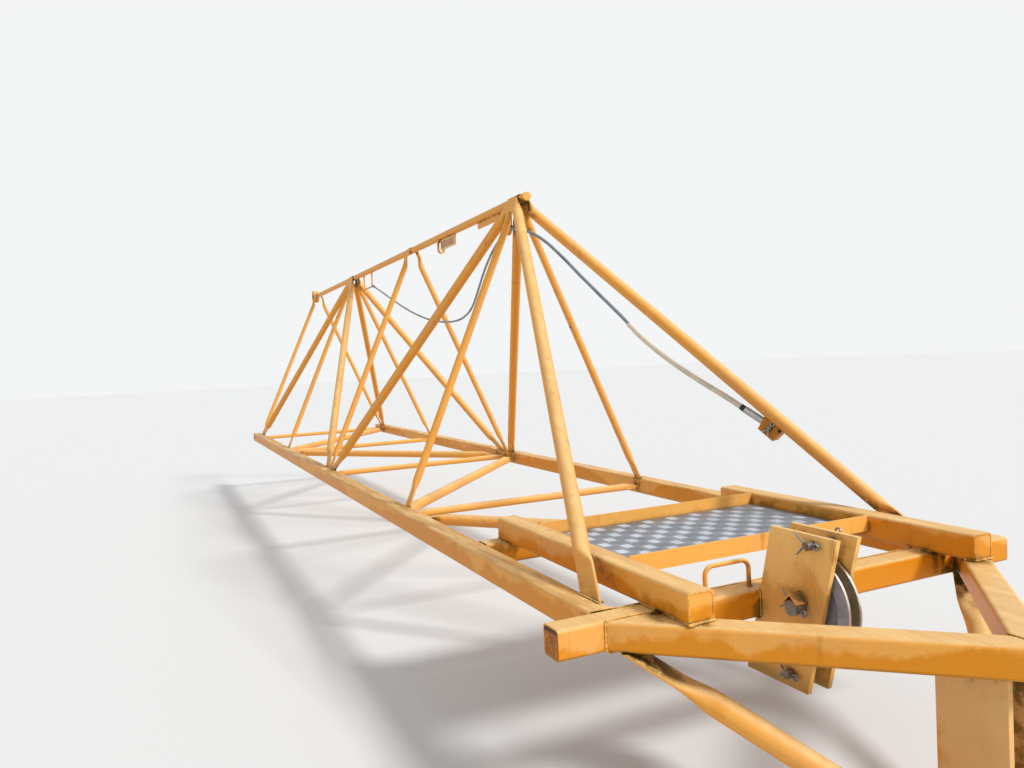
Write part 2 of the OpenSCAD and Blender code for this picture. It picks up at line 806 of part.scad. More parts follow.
// Flat bar with a round end, welded along the underside of the top chord
module rope_lug() {
    length = 281;
    drop = 31;
    gap = 95;         // from the middle of the apex lug
    x = apex_x - gap - length;
    color(paint)
        translate([x, mid_y + lug_t / 2, top_z - top_d / 2 - seat - drop]) rotate([90, 0, 0])
            linear_extrude(lug_t) difference() {
                union() {
                    square([length - drop / 2, drop]);
                    translate([length - drop / 2, drop / 2]) circle(d = drop);
                }
                translate([length - drop / 2, drop / 2]) circle(d = drop / 2);
            }
}

// Blank marker plate with a raised border, and the long ring behind it
marker_x = node_x(1) - 1056;
marker_l = 234;
marker_h = 58;
marker_rim = 8;

module marker_plate() {
    top = top_z - top_d / 2 - seat;
    color(paint)
        translate([marker_x, mid_y, top - marker_h]) rotate([90, 0, 0]) {
            linear_extrude(6, center = true) square([marker_l, marker_h]);
            linear_extrude(lug_t, center = true) difference() {
                square([marker_l, marker_h]);
                translate([marker_rim, marker_rim])
                    square([marker_l - 2 * marker_rim, marker_h - 2 * marker_rim]);
            }
        }
}

module marker_ring() {
    ring_w = 44;
    ring_h = 78;
    bar = 10;
    color(paint)
        translate([marker_x - bar - seat, mid_y, top_z - top_d / 2 - seat - ring_h]) rotate([90, 0, 90])
            linear_extrude(bar) difference() {
                union() {
                    for (z = [ring_w / 2, ring_h - ring_w / 2]) translate([0, z]) circle(d = ring_w);
                    translate([-ring_w / 2, ring_w / 2]) square([ring_w, ring_h - ring_w]);
                }
                for (z = [ring_w / 2, ring_h - ring_w / 2]) translate([0, z]) circle(d = ring_w - 2 * bar);
                translate([bar - ring_w / 2, ring_w / 2]) square([ring_w - 2 * bar, ring_h - ring_w]);
            }
}

left_bottom_chord();
right_bottom_chord();
top_chord();
top_eye();
left_posts();
right_posts();
left_forward_diagonals();
right_forward_diagonals();
left_rear_diagonals();
right_rear_diagonals();
cross_tubes();
bottom_diagonals();
bottom_diagonals_return();
tip_beam();
rear_beam();
left_deck_rail();
right_deck_rail();
front_deck_angle();
rear_deck_angle();
tread_plate();
hand_hold();
left_raking_beam();
right_raking_beam();
left_nose_cheek();
right_nose_cheek();
left_nose_tube();
right_nose_tube();
left_sheave_plate();
right_sheave_plate();
sheave();
sheave_axle();
rope_guard_pins();
axle_keeper();
lifeline_clevis();
clevis_pin();
lifeline_socket();
socket_collar();
lifeline_sleeve();
lifeline();
front_ferrule();
apex_lug();
middle_ferrule();
slack_rope();
rear_ferrule();
rear_loop();
rope_lug();
marker_plate();
marker_ring();
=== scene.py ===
import bpy
import functools
import math
import random
from mathutils import Matrix, Vector


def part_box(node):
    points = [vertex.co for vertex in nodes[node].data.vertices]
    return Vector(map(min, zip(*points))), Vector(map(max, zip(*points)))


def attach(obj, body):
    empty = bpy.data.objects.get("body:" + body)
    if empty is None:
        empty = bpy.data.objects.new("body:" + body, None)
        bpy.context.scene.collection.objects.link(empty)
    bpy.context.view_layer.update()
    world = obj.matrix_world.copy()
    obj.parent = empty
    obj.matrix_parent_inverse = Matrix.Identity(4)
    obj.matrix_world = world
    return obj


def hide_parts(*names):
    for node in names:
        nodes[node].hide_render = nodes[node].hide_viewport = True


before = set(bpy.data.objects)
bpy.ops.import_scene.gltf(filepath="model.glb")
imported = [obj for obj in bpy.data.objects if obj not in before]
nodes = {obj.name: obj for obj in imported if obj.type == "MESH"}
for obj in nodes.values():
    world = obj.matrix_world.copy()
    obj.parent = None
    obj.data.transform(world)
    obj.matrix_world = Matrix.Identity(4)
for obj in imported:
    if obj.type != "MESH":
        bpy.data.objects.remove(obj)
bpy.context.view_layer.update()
print("frame loaded")

camera = {
    "place": (8.378, -0.975, 0.6605),
    "yaw": 24.63,      # degrees from -X towards +Y
    "pitch": -1.77,
    "roll": -2.70,
    "focal": 792.06,   # in pixels of the 1024 pixel wide picture
}


def addCamera():
    yaw = math.radians(camera["yaw"])
    pitch = math.radians(camera["pitch"])
    roll = math.radians(camera["roll"])
    forward = Vector((-math.cos(yaw) * math.cos(pitch), math.sin(yaw) * math.cos(pitch), math.sin(pitch)))
    right = forward.cross(Vector((0, 0, 1))).normalized()
    up = right.cross(forward)
    rolledRight = right * math.cos(roll) + up * math.sin(roll)
    rolledUp = up * math.cos(roll) - right * math.sin(roll)
    data = bpy.data.cameras.new("camera")
    data.sensor_width = 36
    data.lens = camera["focal"] / 1024 * 36
    data.clip_end = 100
    item = bpy.data.objects.new("camera", data)
    turn = Matrix((rolledRight, rolledUp, -forward)).transposed()
    item.matrix_world = Matrix.Translation(camera["place"]) @ turn.to_4x4()
    bpy.context.scene.collection.objects.link(item)
    bpy.context.scene.camera = item


addCamera()


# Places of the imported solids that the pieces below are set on, in millimetres
jib = {
    "bay": 1610,
    "firstNode": 6640,
    "middle": 630,        # the jib's centre plane
    "chordFace": 592.5,   # from the centre plane to a bottom chord's inner face
    "topAxis": 1397.5,    # height of the top chord's axis
    "beam": 6750,         # the tip beam's middle
    "box": 75,
    "railHeight": 75.3,
    "railMiddle": 487.5,  # from the centre plane to a deck rail's middle
    "railFront": 6919,
    "railBack": 5849,
    "rearBeam": 5866.5,
    "bracket": 472,       # the sheave bracket's middle, in Y
    "axle": (6928, 30),
}

# Ropes: the lifeline's lower half runs in a sleeve, and its slack end hangs behind the apex
sleeveRope = {
    "diameter": 0.022,
    "dent": 0.035,       # depth of the furrows between strands, as a share of the radius
    "layLength": 0.150,  # one turn of a strand
    "route": [
        (6.049, 1.029, 0.444), (6.015, 1.017, 0.466), (5.981, 1.005, 0.487), (5.947, 0.993, 0.507),
        (5.913, 0.981, 0.527), (5.879, 0.969, 0.548), (5.845, 0.957, 0.569), (5.8111, 0.945, 0.591),
        (5.777, 0.933, 0.614), (5.743, 0.921, 0.638), (5.709, 0.909, 0.663), (5.675, 0.897, 0.69),
        (5.641, 0.884, 0.719), (5.606, 0.872, 0.751), (5.572, 0.86, 0.786),
    ],
}
lifeRope = {
    "diameter": 0.015,
    "dent": 0.13,
    "layLength": 0.105,
    "route": [
        (5.572, 0.86, 0.786), (5.538, 0.848, 0.821), (5.504, 0.836, 0.853), (5.4691, 0.824, 0.886),
        (5.434, 0.811, 0.919), (5.4021, 0.8, 0.95), (5.37, 0.788, 0.981), (5.338, 0.776, 1.012),
        (5.307, 0.765, 1.043), (5.275, 0.754, 1.075), (5.243, 0.742, 1.106), (5.211, 0.73, 1.137),
        (5.178, 0.718, 1.167), (5.144, 0.705, 1.195), (5.11, 0.692, 1.219), (5.074, 0.677, 1.241),
        (5.037, 0.662, 1.259), (5.0, 0.648, 1.273),
    ],
}
slackRope = {
    "diameter": 0.012,
    "dent": 0.15,
    "layLength": 0.084,
    "route": [(x, jib["middle"] / 1000, z) for x, z in (
        (4.8559, 1.27), (4.8, 1.247), (4.7399, 1.218), (4.68, 1.183), (4.6251, 1.143), (4.575, 1.1),
        (4.5251, 1.052), (4.475, 1.004), (4.4251, 0.962), (4.365, 0.931), (4.2951, 0.91),
        (4.2151, 0.898), (4.1299, 0.894), (4.04, 0.896), (3.945, 0.902), (3.84, 0.912),
        (3.73, 0.927), (3.6099, 0.947), (3.4801, 0.974), (3.34, 1.006), (3.1899, 1.045),
        (3.03, 1.09), (2.8599, 1.14), (2.69, 1.191), (2.5599, 1.23), (2.4459, 1.264))],
}


ropeMesh = {"step": 0.004, "around": 24}


def smoothRoute(route, step):
    # Catmull-Rom curve through the route's points, then points at even steps along it
    points = [Vector(p) for p in route]
    points = [2 * points[0] - points[1]] + points + [2 * points[-1] - points[-2]]
    fine = []
    for a, b, c, d in zip(points, points[1:], points[2:], points[3:]):
        for t in (k / 16 for k in range(16)):
            fine.append(0.5 * (2 * b + (c - a) * t + (2 * a - 5 * b + 4 * c - d) * t * t
                               + (3 * b - a - 3 * c + d) * t ** 3))
    fine.append(points[-2])
    spans = [(q - p).length for p, q in zip(fine, fine[1:])]
    total = sum(spans)
    count = round(total / step)
    even, place, run = [], 0, 0
    for k in range(count + 1):
        goal = total * k / count
        while place < len(spans) - 1 and run + spans[place] < goal:
            run += spans[place]
            place += 1
        even.append(fine[place].lerp(fine[place + 1], min(1, (goal - run) / spans[place])))
    return even, total


def addRope(name, rope, node):
    # Laid rope: six strands that turn about its middle
    centres, length = smoothRoute(rope["route"], ropeMesh["step"])
    around = ropeMesh["around"]
    radius = rope["diameter"] / 2
    verts, faces, furrow = [], [], []
    side = Vector((0, 1, 0))
    for k, centre in enumerate(centres):
        ahead = (centres[min(k + 1, len(centres) - 1)] - centres[max(k - 1, 0)]).normalized()
        side = (side - side.dot(ahead) * ahead).normalized()
        other = ahead.cross(side)
        turn = 2 * math.pi * k * length / (len(centres) - 1) / rope["layLength"]
        for j in range(around):
            angle = 2 * math.pi * j / around
            depth = 1 - abs(math.cos(3 * (angle - turn)))
            reach = radius * (1 - rope["dent"] * depth)
            verts.append(centre + reach * (math.cos(angle) * side + math.sin(angle) * other))
            furrow.append(depth)
    last = (len(centres) - 1) * around
    for k in range(0, last, around):
        for j in range(around):
            i = (j + 1) % around
            faces.append((k + j, k + i, k + around + i, k + around + j))
    faces.append(tuple(reversed(range(around))))
    faces.append(tuple(range(last, last + around)))
    mesh = bpy.data.meshes.new(name)
    mesh.from_pydata([tuple(v) for v in verts], [], faces)
    mesh.attributes.new("furrow", "FLOAT", "POINT").data.foreach_set("value", furrow)
    mesh.shade_smooth()
    piece = bpy.data.objects.new(name, mesh)
    bpy.context.scene.collection.objects.link(piece)
    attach(piece, "jib")
    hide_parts(node)
    print(name, "is", round(length, 3), "m long")
    return piece


sleevePiece = addRope("sleeveRope", sleeveRope, "lifeline_sleeve")
lifePiece = addRope("lifelineRope", lifeRope, "lifeline")
slackPiece = addRope("slackRope", slackRope, "slack_rope")
print("ropes laid")


def nodeAt(i):
    return jib["firstNode"] - i * jib["bay"]


def sideY(side, away):
    return jib["middle"] + side * away


def deselectAll():
    for item in bpy.context.selected_objects:
        item.select_set(False)


def dress(piece, material):
    # Brings a finished piece's place into its mesh and gives it its slot and finish
    deselectAll()
    piece.select_set(True)
    bpy.context.view_layer.objects.active = piece
    bpy.ops.object.transform_apply()
    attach(piece, "jib")
    piece.data.materials.clear()
    piece.data.materials.append(material)
    return piece


def joinAll(items, name):
    deselectAll()
    for item in items:
        item.select_set(True)
    bpy.context.view_layer.objects.active = items[0]
    bpy.ops.object.join()
    items[0].name = name
    return items[0]


def copyTo(part, places, name):
    # Copies of one modelled part, each with its own mesh, joined to one piece in its stead
    made = []
    for place in places:
        item = bpy.data.objects.new(name, part.data.copy())
        item.data.transform(place)
        bpy.context.scene.collection.objects.link(item)
        made.append(item)
    bpy.data.objects.remove(part)
    return joinAll(made, name)


def addBlock(name, size, middle=(0, 0, 0)):
    # Size and middle in millimetres
    deselectAll()
    bpy.ops.mesh.primitive_cube_add(size=1, location=Vector(middle) / 1000)
    block = bpy.context.active_object
    block.name = name
    block.scale = Vector(size) / 1000
    bpy.ops.object.transform_apply()
    return block


def pick(piece, kind, test):
    # Selects the faces or edges of a piece that pass the test, and leaves it in edit mode
    bpy.ops.object.mode_set(mode="EDIT")
    bpy.ops.mesh.select_mode(type=kind)
    bpy.ops.mesh.select_all(action="DESELECT")
    bpy.ops.object.mode_set(mode="OBJECT")
    for item in (piece.data.polygons if kind == "FACE" else piece.data.edges):
        item.select = test(item)
    bpy.ops.object.mode_set(mode="EDIT")


def edgeSpan(piece, edge):
    a, b = (piece.data.vertices[v].co for v in edge.vertices)
    return b - a


def turnTo(place, ahead, up=(0, 0, 1)):
    # Matrix that stands a part at place in millimetres, with its X along ahead
    x = Vector(ahead).normalized()
    y = Vector(up).cross(x)
    if y.length < 0.01:
        y = Vector((0, 1, 0)).cross(x)
    y.normalize()
    turn = Matrix((x, y, x.cross(y))).transposed().to_4x4()
    return Matrix.Translation(Vector(place) / 1000) @ turn


def toLinear(hexText):
    values = [int(hexText[i:i + 2], 16) / 255 for i in (1, 3, 5)]
    return [v / 12.92 if v <= 0.04045 else ((v + 0.055) / 1.055) ** 2.4 for v in values] + [1]


def addNode(tree, kind, inputs=None, out=0, **settings):
    # Each input is a link, a hex colour or a number; gives back one of the new node's outputs
    item = tree.nodes.new("ShaderNode" + kind)
    for key, value in settings.items():
        setattr(item, key, value)
    for key, value in (inputs or {}).items():
        if isinstance(value, bpy.types.NodeSocket):
            tree.links.new(value, item.inputs[key])
        else:
            item.inputs[key].default_value = toLinear(value) if isinstance(value, str) else value
    return item.outputs[out] if len(item.outputs) else None


def newMaterial(name):
    material = bpy.data.materials.new(name)
    material.use_nodes = True
    material.node_tree.nodes.clear()
    add = functools.partial(addNode, material.node_tree)
    return material, add, add("TexCoord", out="Object")


def closeSurface(add, base, coats, inputs, skin=None, strength=0.2, relief=0.4, speckle=None):
    # Each coat covers what lies under it by its share; the skin is a pattern of small bumps,
    # with its relief in millimetres
    for share, tint in coats:
        base = add("Mix", {0: share, 6: base, 7: tint}, 2, data_type="RGBA")
    if speckle:
        base = add("VectorMath", {0: base, 1: speckle}, **multiply)
    inputs["Base Color"] = base
    if skin:
        inputs["Normal"] = add("Bump", {"Height": skin, "Strength": strength, "Distance": relief / 1000})
    add("OutputMaterial", {"Surface": add("BsdfPrincipled", inputs)})


smooth = {"interpolation_type": "SMOOTHSTEP"}
multiply = {"operation": "MULTIPLY"}

# Alkyd enamel sprayed on structural steel, after years outdoors: chalked pale where the sky sees it, and paler
# there still as painted sky light; still deep amber on lower edges and undersides, rust where it is knocked off
fadedPaint = {
    "chalked": "#f1aa4b",    # side faces
    "tan": "#e9a658",        # dirtier side faces
    "bleachedAndSkyLit": "#f1ca89",   # upper faces: chalked, with painted sky light
    "soiled": "#c08a44",     # upper faces where dirt has settled
    "amber": "#e08c12",      # paint that has not faded
    "drip": "#8c5a17",
    # painted shade in corners and along welds
    "cornerShade": "#6b4a1b",
    "jointShadeAndWaterStain": "#8c6c22",       # brown-green painted shade in a border round every joint, also the brown of water on lower edges
    # darkest painted shade, where the joint shade lies thick
    "deepJointShade": "#4e4420",
    "rust": "#8a4a1c",
    "bareSteel": "#3b2c22",
    "chipSpacing": 130,      # millimetres
    "chipSize": 7,
    "jointShadeReach": 75,         # how far from a corner painted shade reaches, thin and thick
    "cornerShadeReach": 22,
}
# Size in millimetres, stretch and shift of the piece's own space, detail, roughness
paintPatterns = {
    "mottle": (340, (1, 1, 1), (0, 0, 0), 3, 0.55),
    "patch": (55, (1, 1, 1), (0, 0, 0), 5, 0.62),
    "grain": (4, (1, 1, 1), (0, 0, 0), 2, 0.6),
    "tongue": (110, (1, 1, 0.22), (0, 0, 0), 3, 0.5),       # ragged tongues of unfaded paint
    "reach": (620, (1, 1, 0.5), (3.1, 1.7, 5.2), 2, 0.5),   # where it reaches high or stays low
    "drip": (27, (1, 1, 0.12), (0, 0, 0), 4, 0.6),
    "smear": (38, (0.14, 1, 1), (0, 0, 0), 5, 0.62),
}


def makePaint(name, own=None, lowEdge=None, depth=75, amberReach=0.42, amberSpots=0.35, wearAndCornerShade=1.0, stain=1.0,
              soil=0.3, jointShading=0.9):
    # lowEdge is the height of a box bar's lower edge and depth the bar's own height, in millimetres
    # mossy scales the painted shade round every joint
    look = dict(fadedPaint, **(own or {}))
    # wear scales the painted shade in corners as well as the chips
    material, add, spot = newMaterial(name)
    facing = add("SeparateXYZ", {0: add("TexCoord", out="Normal")}, 2)
    upward = add("MapRange", {0: facing, 1: 0.30, 2: 0.88}, **smooth)
    downward = add("MapRange", {0: facing, 1: -0.25, 2: -0.9}, **smooth)
    mottle, patch, grain, tongue, reach, drip, smear = [
        add("TexNoise", {"Vector": add("Mapping", {"Vector": spot, "Scale": stretch, "Location": shift}),
                         "Scale": 1000 / size, "Detail": detail, "Roughness": rough})
        for size, stretch, shift, detail, rough in paintPatterns.values()]

    # Amber: in spots and on undersides, on box bars also below a ragged line
    spots = add("MapRange", {0: tongue, 1: 0.60, 2: 0.70, 4: amberSpots * stain}, **smooth)
    amber = add("Math", {0: spots, 1: downward}, operation="MAXIMUM")
    lowCoats = []
    if lowEdge is not None:
        height = add("MapRange", {0: add("SeparateXYZ", {0: spot}, 2), 1: lowEdge / 1000,
                                  2: (lowEdge + depth) / 1000})
        ragged = add("Math", {0: reach, 1: 4.4, 2: amberReach - 2.3}, operation="MULTIPLY_ADD")
        ragged = add("Math", {0: ragged, 1: 0.06}, operation="MAXIMUM")
        for source, weight in ((tongue, 0.9), (patch, 0.8)):
            ragged = add("Math", {0: source, 1: weight, 2: ragged}, operation="MULTIPLY_ADD")
        above = add("Math", {0: height, 1: ragged}, operation="SUBTRACT")
        low = add("MapRange", {0: above, 1: -0.59, 2: -0.89, 4: 0.95 * stain}, **smooth)
        amber = add("Math", {0: amber, 1: low}, operation="MAXIMUM")
        # water hangs on the lower edge and browns it
        hung = add("MapRange", {0: height, 1: 0.15, 2: 0.02})
        hung = add("Math", {0: hung, 1: tongue}, **multiply)
        hung = add("MapRange", {0: hung, 1: 0.10, 2: 0.50, 4: 0.75 * stain})
        lowCoats = [(hung, look["jointShadeAndWaterStain"])]

    # Upper faces chalked, and paler still as painted sky light, with some old colour left in patches and dirt in
    # long smears
    worn = add("MapRange", {0: patch, 1: 0.30, 2: 0.62, 3: 1.0, 4: 0.72})
    bleachAndSkyLight = add("Math", {0: upward, 1: worn}, **multiply)
    smeared = add("MapRange", {0: smear, 1: 0.40, 2: 0.62, 4: soil})
    top = add("Mix", {0: smeared, 6: look["bleachedAndSkyLit"], 7: look["soiled"]}, 2, data_type="RGBA")

    # Dirty water marks down the sides
    streak = add("MapRange", {0: drip, 1: 0.56, 2: 0.80, 4: 0.8 * stain}, **smooth)
    here = add("MapRange", {0: mottle, 1: 0.46, 2: 0.62})
    streak = add("Math", {0: streak, 1: here}, **multiply)

    # Painted shade: brown-green darkening from an occlusion mask in a broad ragged border round every joint,
    # thickest in patches
    near = add("AmbientOcclusion", {"Distance": look["jointShadeReach"] / 1000}, "AO", samples=6)
    jointShadeAndWaterStain = add("MapRange", {0: near, 1: 0.93, 2: 0.55})
    blots = add("MapRange", {0: patch, 1: 0.42, 2: 0.56}, **smooth)
    jointShadeAndWaterStain = add("Math", {0: jointShadeAndWaterStain, 1: blots}, **multiply)
    jointShadeAndWaterStain = add("Math", {0: jointShadeAndWaterStain, 1: jointShading}, use_clamp=True, **multiply)
    thick = add("Math", {0: jointShadeAndWaterStain, 1: grain}, **multiply)
    thick = add("MapRange", {0: thick, 1: 0.10, 2: 0.36, 4: 0.75})

    # Painted shade: darkening from an occlusion mask in corners and along welds, in patches
    corner = add("AmbientOcclusion", {"Distance": look["cornerShadeReach"] / 1000}, "AO", samples=6)
    cornerShadeShare = add("MapRange", {0: corner, 1: 0.72, 2: 0.36}, **smooth)
    cornerShadeShare = add("Math", {0: cornerShadeShare, 1: patch}, **multiply)
    cornerShadeShare = add("Math", {0: cornerShadeShare, 1: 1.25 * wearAndCornerShade}, use_clamp=True, **multiply)

    # Chips: a few knocks, bare in the middle, with a rusty border
    shake = add("TexNoise", {"Vector": spot, "Scale": 90.0, "Detail": 3.0}, 1)
    shaken = add("Mix", {0: 0.02, 4: spot, 5: shake}, 1, data_type="VECTOR")
    cells = add("TexVoronoi", {"Vector": shaken, "Scale": 1000 / look["chipSpacing"]}).node.outputs
    lot = add("SeparateColor", {0: cells["Color"]})
    size = add("MapRange", {0: lot, 1: 1 - 0.26 * wearAndCornerShade, 2: 1.0, 4: look["chipSize"] / look["chipSpacing"]})
    inside = add("Math", {0: size, 1: cells["Distance"]}, operation="SUBTRACT")
    present = add("Math", {0: size, 1: 0.004}, operation="GREATER_THAN")
    halo = add("MapRange", {0: inside, 1: -0.022, 2: 0.004})
    halo = add("Math", {0: halo, 1: present}, **multiply)
    chip = add("MapRange", {0: inside, 1: 0.0, 2: 0.006})

    side = add("MapRange", {0: mottle, 1: 0.40, 2: 0.62})
    coats = [(side, look["tan"]), (amber, look["amber"]), (bleachAndSkyLight, top), *lowCoats, (streak, look["drip"]),
             (jointShadeAndWaterStain, look["jointShadeAndWaterStain"]), (thick, look["deepJointShade"]), (cornerShadeShare, look["cornerShade"]), (halo, look["rust"]),
             (chip, look["bareSteel"])]
    # Fine chalk speckle
    speckle = add("MapRange", {0: grain, 1: 0.3, 2: 0.7, 3: 0.95, 4: 1.05})
    rough = add("MapRange", {0: patch, 1: 0.3, 2: 0.7, 3: 0.62, 4: 0.46})
    for share, value in ((halo, 0.85), (amber, 0.40)):
        rough = add("Mix", {0: share, 2: rough, 3: value})
    skin = add("Math", {0: patch, 1: grain}, operation="ADD")
    skin = add("Math", {0: skin, 1: chip}, operation="SUBTRACT")
    closeSurface(add, look["chalked"], coats, {"Roughness": rough, "Specular IOR Level": 0.22}, skin, 0.25, 0.6,
                 speckle)
    return material


# Marker plate: pale raised border, field where pinkish primer and rust show through
markerLook = {"border": "#efd58a", "field": "#d09a76", "rust": "#a55a33", "fieldHalf": 3.4, "blotch": 30}


def makeMarker(name):
    look = markerLook
    material, add, spot = newMaterial(name)
    off = add("SeparateXYZ", {0: spot}, 1)
    off = add("Math", {0: off, 1: jib["middle"] / 1000}, operation="SUBTRACT")
    off = add("Math", {0: off}, operation="ABSOLUTE")
    border = add("Math", {0: off, 1: look["fieldHalf"] / 1000}, operation="GREATER_THAN")
    blotch = add("TexNoise", {"Vector": spot, "Scale": 1000 / look["blotch"], "Detail": 5.0, "Roughness": 0.65})
    share = add("MapRange", {0: blotch, 1: 0.48, 2: 0.66})
    worn = add("MapRange", {0: blotch, 1: 0.60, 2: 0.72, 4: 0.8})
    coats = [(share, look["rust"]), (border, look["border"]), (worn, look["rust"])]
    closeSurface(add, look["field"], coats, {"Roughness": 0.6}, blotch, 0.2, 0.6)
    return material


# Zinc-plated steel: dull grey with white bloom, browned where water sits
zincSteel = {"metal": "#a4a8aa", "bloom": "#c6c9c8", "dull": "#74787a", "brown": "#6f4a2c", "mottle": 14}


def makeZinc(name, brownShare=0.3, own=None):
    look = dict(zincSteel, **(own or {}))
    material, add, spot = newMaterial(name)
    mottle = add("TexNoise", {"Vector": spot, "Scale": 1000 / look["mottle"], "Detail": 5.0, "Roughness": 0.65})
    wide = add("TexNoise", {"Vector": spot, "Scale": 250 / look["mottle"], "Detail": 3.0})
    pale = add("MapRange", {0: mottle, 1: 0.35, 2: 0.68})
    bloom = add("MapRange", {0: wide, 1: 0.55, 2: 0.70, 4: 0.6})
    start = 0.66 - 0.3 * brownShare
    brown = add("MapRange", {0: mottle, 1: start, 2: start + 0.14}, **smooth)
    coats = [(pale, look["metal"]), (bloom, look["bloom"]), (brown, look["brown"])]
    metal = add("MapRange", {0: brown, 3: 0.9, 4: 0.1})
    rough = add("MapRange", {0: mottle, 1: 0.3, 2: 0.7, 3: 0.32, 4: 0.55})
    closeSurface(add, look["dull"], coats, {"Metallic": metal, "Roughness": rough}, mottle)
    return material


# Cast steel sheave: turned web under grey-blue paint, rope-worn lip with a painted highlight, brown groove
# web and groove colours are lightened as painted light against the shade they lie in
sheaveLook = {"web": "#a9acb8", "webDark": "#8d8f9a", "lip": "#e6e0d0", "groove": "#b0a189",
              "grooveDark": "#8a7c69", "rust": "#7a4a28", "radius": 130, "ringPitch": 2.5,
              "mottle": 45, "grain": 5, "grooveFloor": 97, "grooveHalf": 16.6}


def makeSheaveIron(name):
    look = sheaveLook
    material, add, spot = newMaterial(name)
    axle = (-jib["axle"][0] / 1000, -jib["bracket"] / 1000, -jib["axle"][1] / 1000)
    centre = add("Mapping", {"Vector": spot, "Location": axle})
    flat = add("VectorMath", {0: centre, 1: (1, 0, 1)}, **multiply)
    radius = add("VectorMath", {0: flat}, "Value", operation="LENGTH")
    off = add("Math", {0: add("SeparateXYZ", {0: centre}, 1)}, operation="ABSOLUTE")
    mottle = add("TexNoise", {"Vector": spot, "Scale": 1000 / look["mottle"], "Detail": 5.0, "Roughness": 0.6})
    fine = add("TexNoise", {"Vector": spot, "Scale": 1000 / look["grain"], "Detail": 3.0})
    shade = add("MapRange", {0: mottle, 1: 0.38, 2: 0.66})
    # the groove is the part of the rim between the two lips
    floor, half = look["grooveFloor"] / 1000, look["grooveHalf"] / 1000
    outer = add("MapRange", {0: radius, 1: floor - 0.001, 2: floor + 0.001})
    inner = add("MapRange", {0: off, 1: half + 0.0006, 2: half - 0.0006})
    groove = add("Math", {0: outer, 1: inner}, **multiply)
    rim = look["radius"] / 1000
    # painted highlight: a near-white ring along the lip, on metal polished by the rope
    lip = add("MapRange", {0: radius, 1: rim - 0.0026, 2: rim - 0.0012})
    rubbed = add("MapRange", {0: fine, 1: 0.2, 2: 0.45})
    lip = add("Math", {0: lip, 1: rubbed}, **multiply)
    rusty = add("MapRange", {0: mottle, 1: 0.64, 2: 0.76, 4: 0.7})
    # groove colours lightened as painted light against the groove's shade
    brown = add("Mix", {0: shade, 6: look["grooveDark"], 7: look["groove"]}, 2, data_type="RGBA")
    coats = [(shade, look["web"]), (groove, brown), (lip, look["lip"]), (rusty, look["rust"])]
    metal = add("Math", {0: lip, 1: groove}, operation="MAXIMUM")
    metal = add("MapRange", {0: metal, 3: 0.1, 4: 0.8})
    rough = add("MapRange", {0: lip, 3: 0.55, 4: 0.28})
    rings = add("Math", {0: radius, 1: 2 * math.pi * 1000 / look["ringPitch"]}, **multiply)
    rings = add("Math", {0: rings}, operation="SINE")
    skin = add("Math", {0: rings, 1: 0.12, 2: mottle}, operation="MULTIPLY_ADD")
    closeSurface(add, look["webDark"], coats, {"Metallic": metal, "Roughness": rough}, skin, 0.3, 0.6)
    return material


# Rolled aluminium tread plate: dull blue-grey, bars rubbed bright and painted paler still as highlight, rusty
# water along its edges
treadLook = {"metal": "#969ba1", "dull": "#82878e", "rubbedSheen": "#a5aab1", "dirt": "#9a8568",
             "broad": 120, "lines": 3, "dirtEdge": 6030, "dirtEnd": 6170}


def makeTread(name, rubbedSheen=False):
    look = treadLook
    material, add, spot = newMaterial(name)
    broad = add("TexNoise", {"Vector": spot, "Scale": 1000 / look["broad"], "Detail": 4.0, "Roughness": 0.6})
    rolled = add("Mapping", {"Vector": spot, "Scale": (1, 0.06, 1)})
    lines = add("TexNoise", {"Vector": rolled, "Scale": 1000 / look["lines"], "Detail": 3.0})
    shade = add("MapRange", {0: broad, 1: 0.38, 2: 0.64})
    # brown water marks near the rear angle
    along = add("SeparateXYZ", {0: spot})
    back = add("MapRange", {0: along, 1: look["dirtEnd"] / 1000, 2: look["dirtEdge"] / 1000})
    back = add("Math", {0: back, 1: broad}, **multiply)
    dirt = add("MapRange", {0: back, 1: 0.25, 2: 0.6, 4: 0.2 if rubbedSheen else 0.55})
    # the bars take the paler colours: rubbed metal with a painted highlight
    low, top = ("metal", "rubbedSheen") if rubbedSheen else ("dull", "metal")
    coats = [(shade, look[top]), (dirt, look["dirt"])]
    rough = add("MapRange", {0: lines, 1: 0.3, 2: 0.7, 3: 0.34, 4: 0.52})
    closeSurface(add, look[low], coats, {"Roughness": rough, "Metallic": 0.55}, lines, 0.12, 0.3)
    return material


# Ropes: laid strands under a plastic cover, darker in the furrows between strands as painted shade, with patches
# of dirt
ropeLooks = {
    "sleeve": {"high": "#e9e3d0", "low": "#cfc7b0", "dirt": "#a0977e", "rough": 0.42, "dirtShare": 0.3},
    "life": {"high": "#8a97a5", "low": "#57626d", "dirt": "#56544c", "rough": 0.48, "dirtShare": 0.4},
    "slack": {"high": "#969b99", "low": "#666a69", "dirt": "#67604f", "rough": 0.55, "dirtShare": 0.5},
}


def makeRopeCover(name, look):
    material, add, spot = newMaterial(name)
    furrow = add("Attribute", out="Fac", attribute_name="furrow")
    mottle = add("TexNoise", {"Vector": spot, "Scale": 1000 / 70, "Detail": 4.0})
    fine = add("TexNoise", {"Vector": spot, "Scale": 1000 / 2.5, "Detail": 3.0})
    # painted shade: darker colour deep in the furrows between strands
    furrowShade = add("MapRange", {0: furrow, 1: 0.35, 2: 1.0})
    dirt = add("MapRange", {0: mottle, 1: 0.48, 2: 0.66, 4: look["dirtShare"]})
    coats = [(furrowShade, look["low"]), (dirt, look["dirt"])]
    closeSurface(add, look["high"], coats, {"Roughness": look["rough"]}, fine, 0.2, 0.3)
    return material


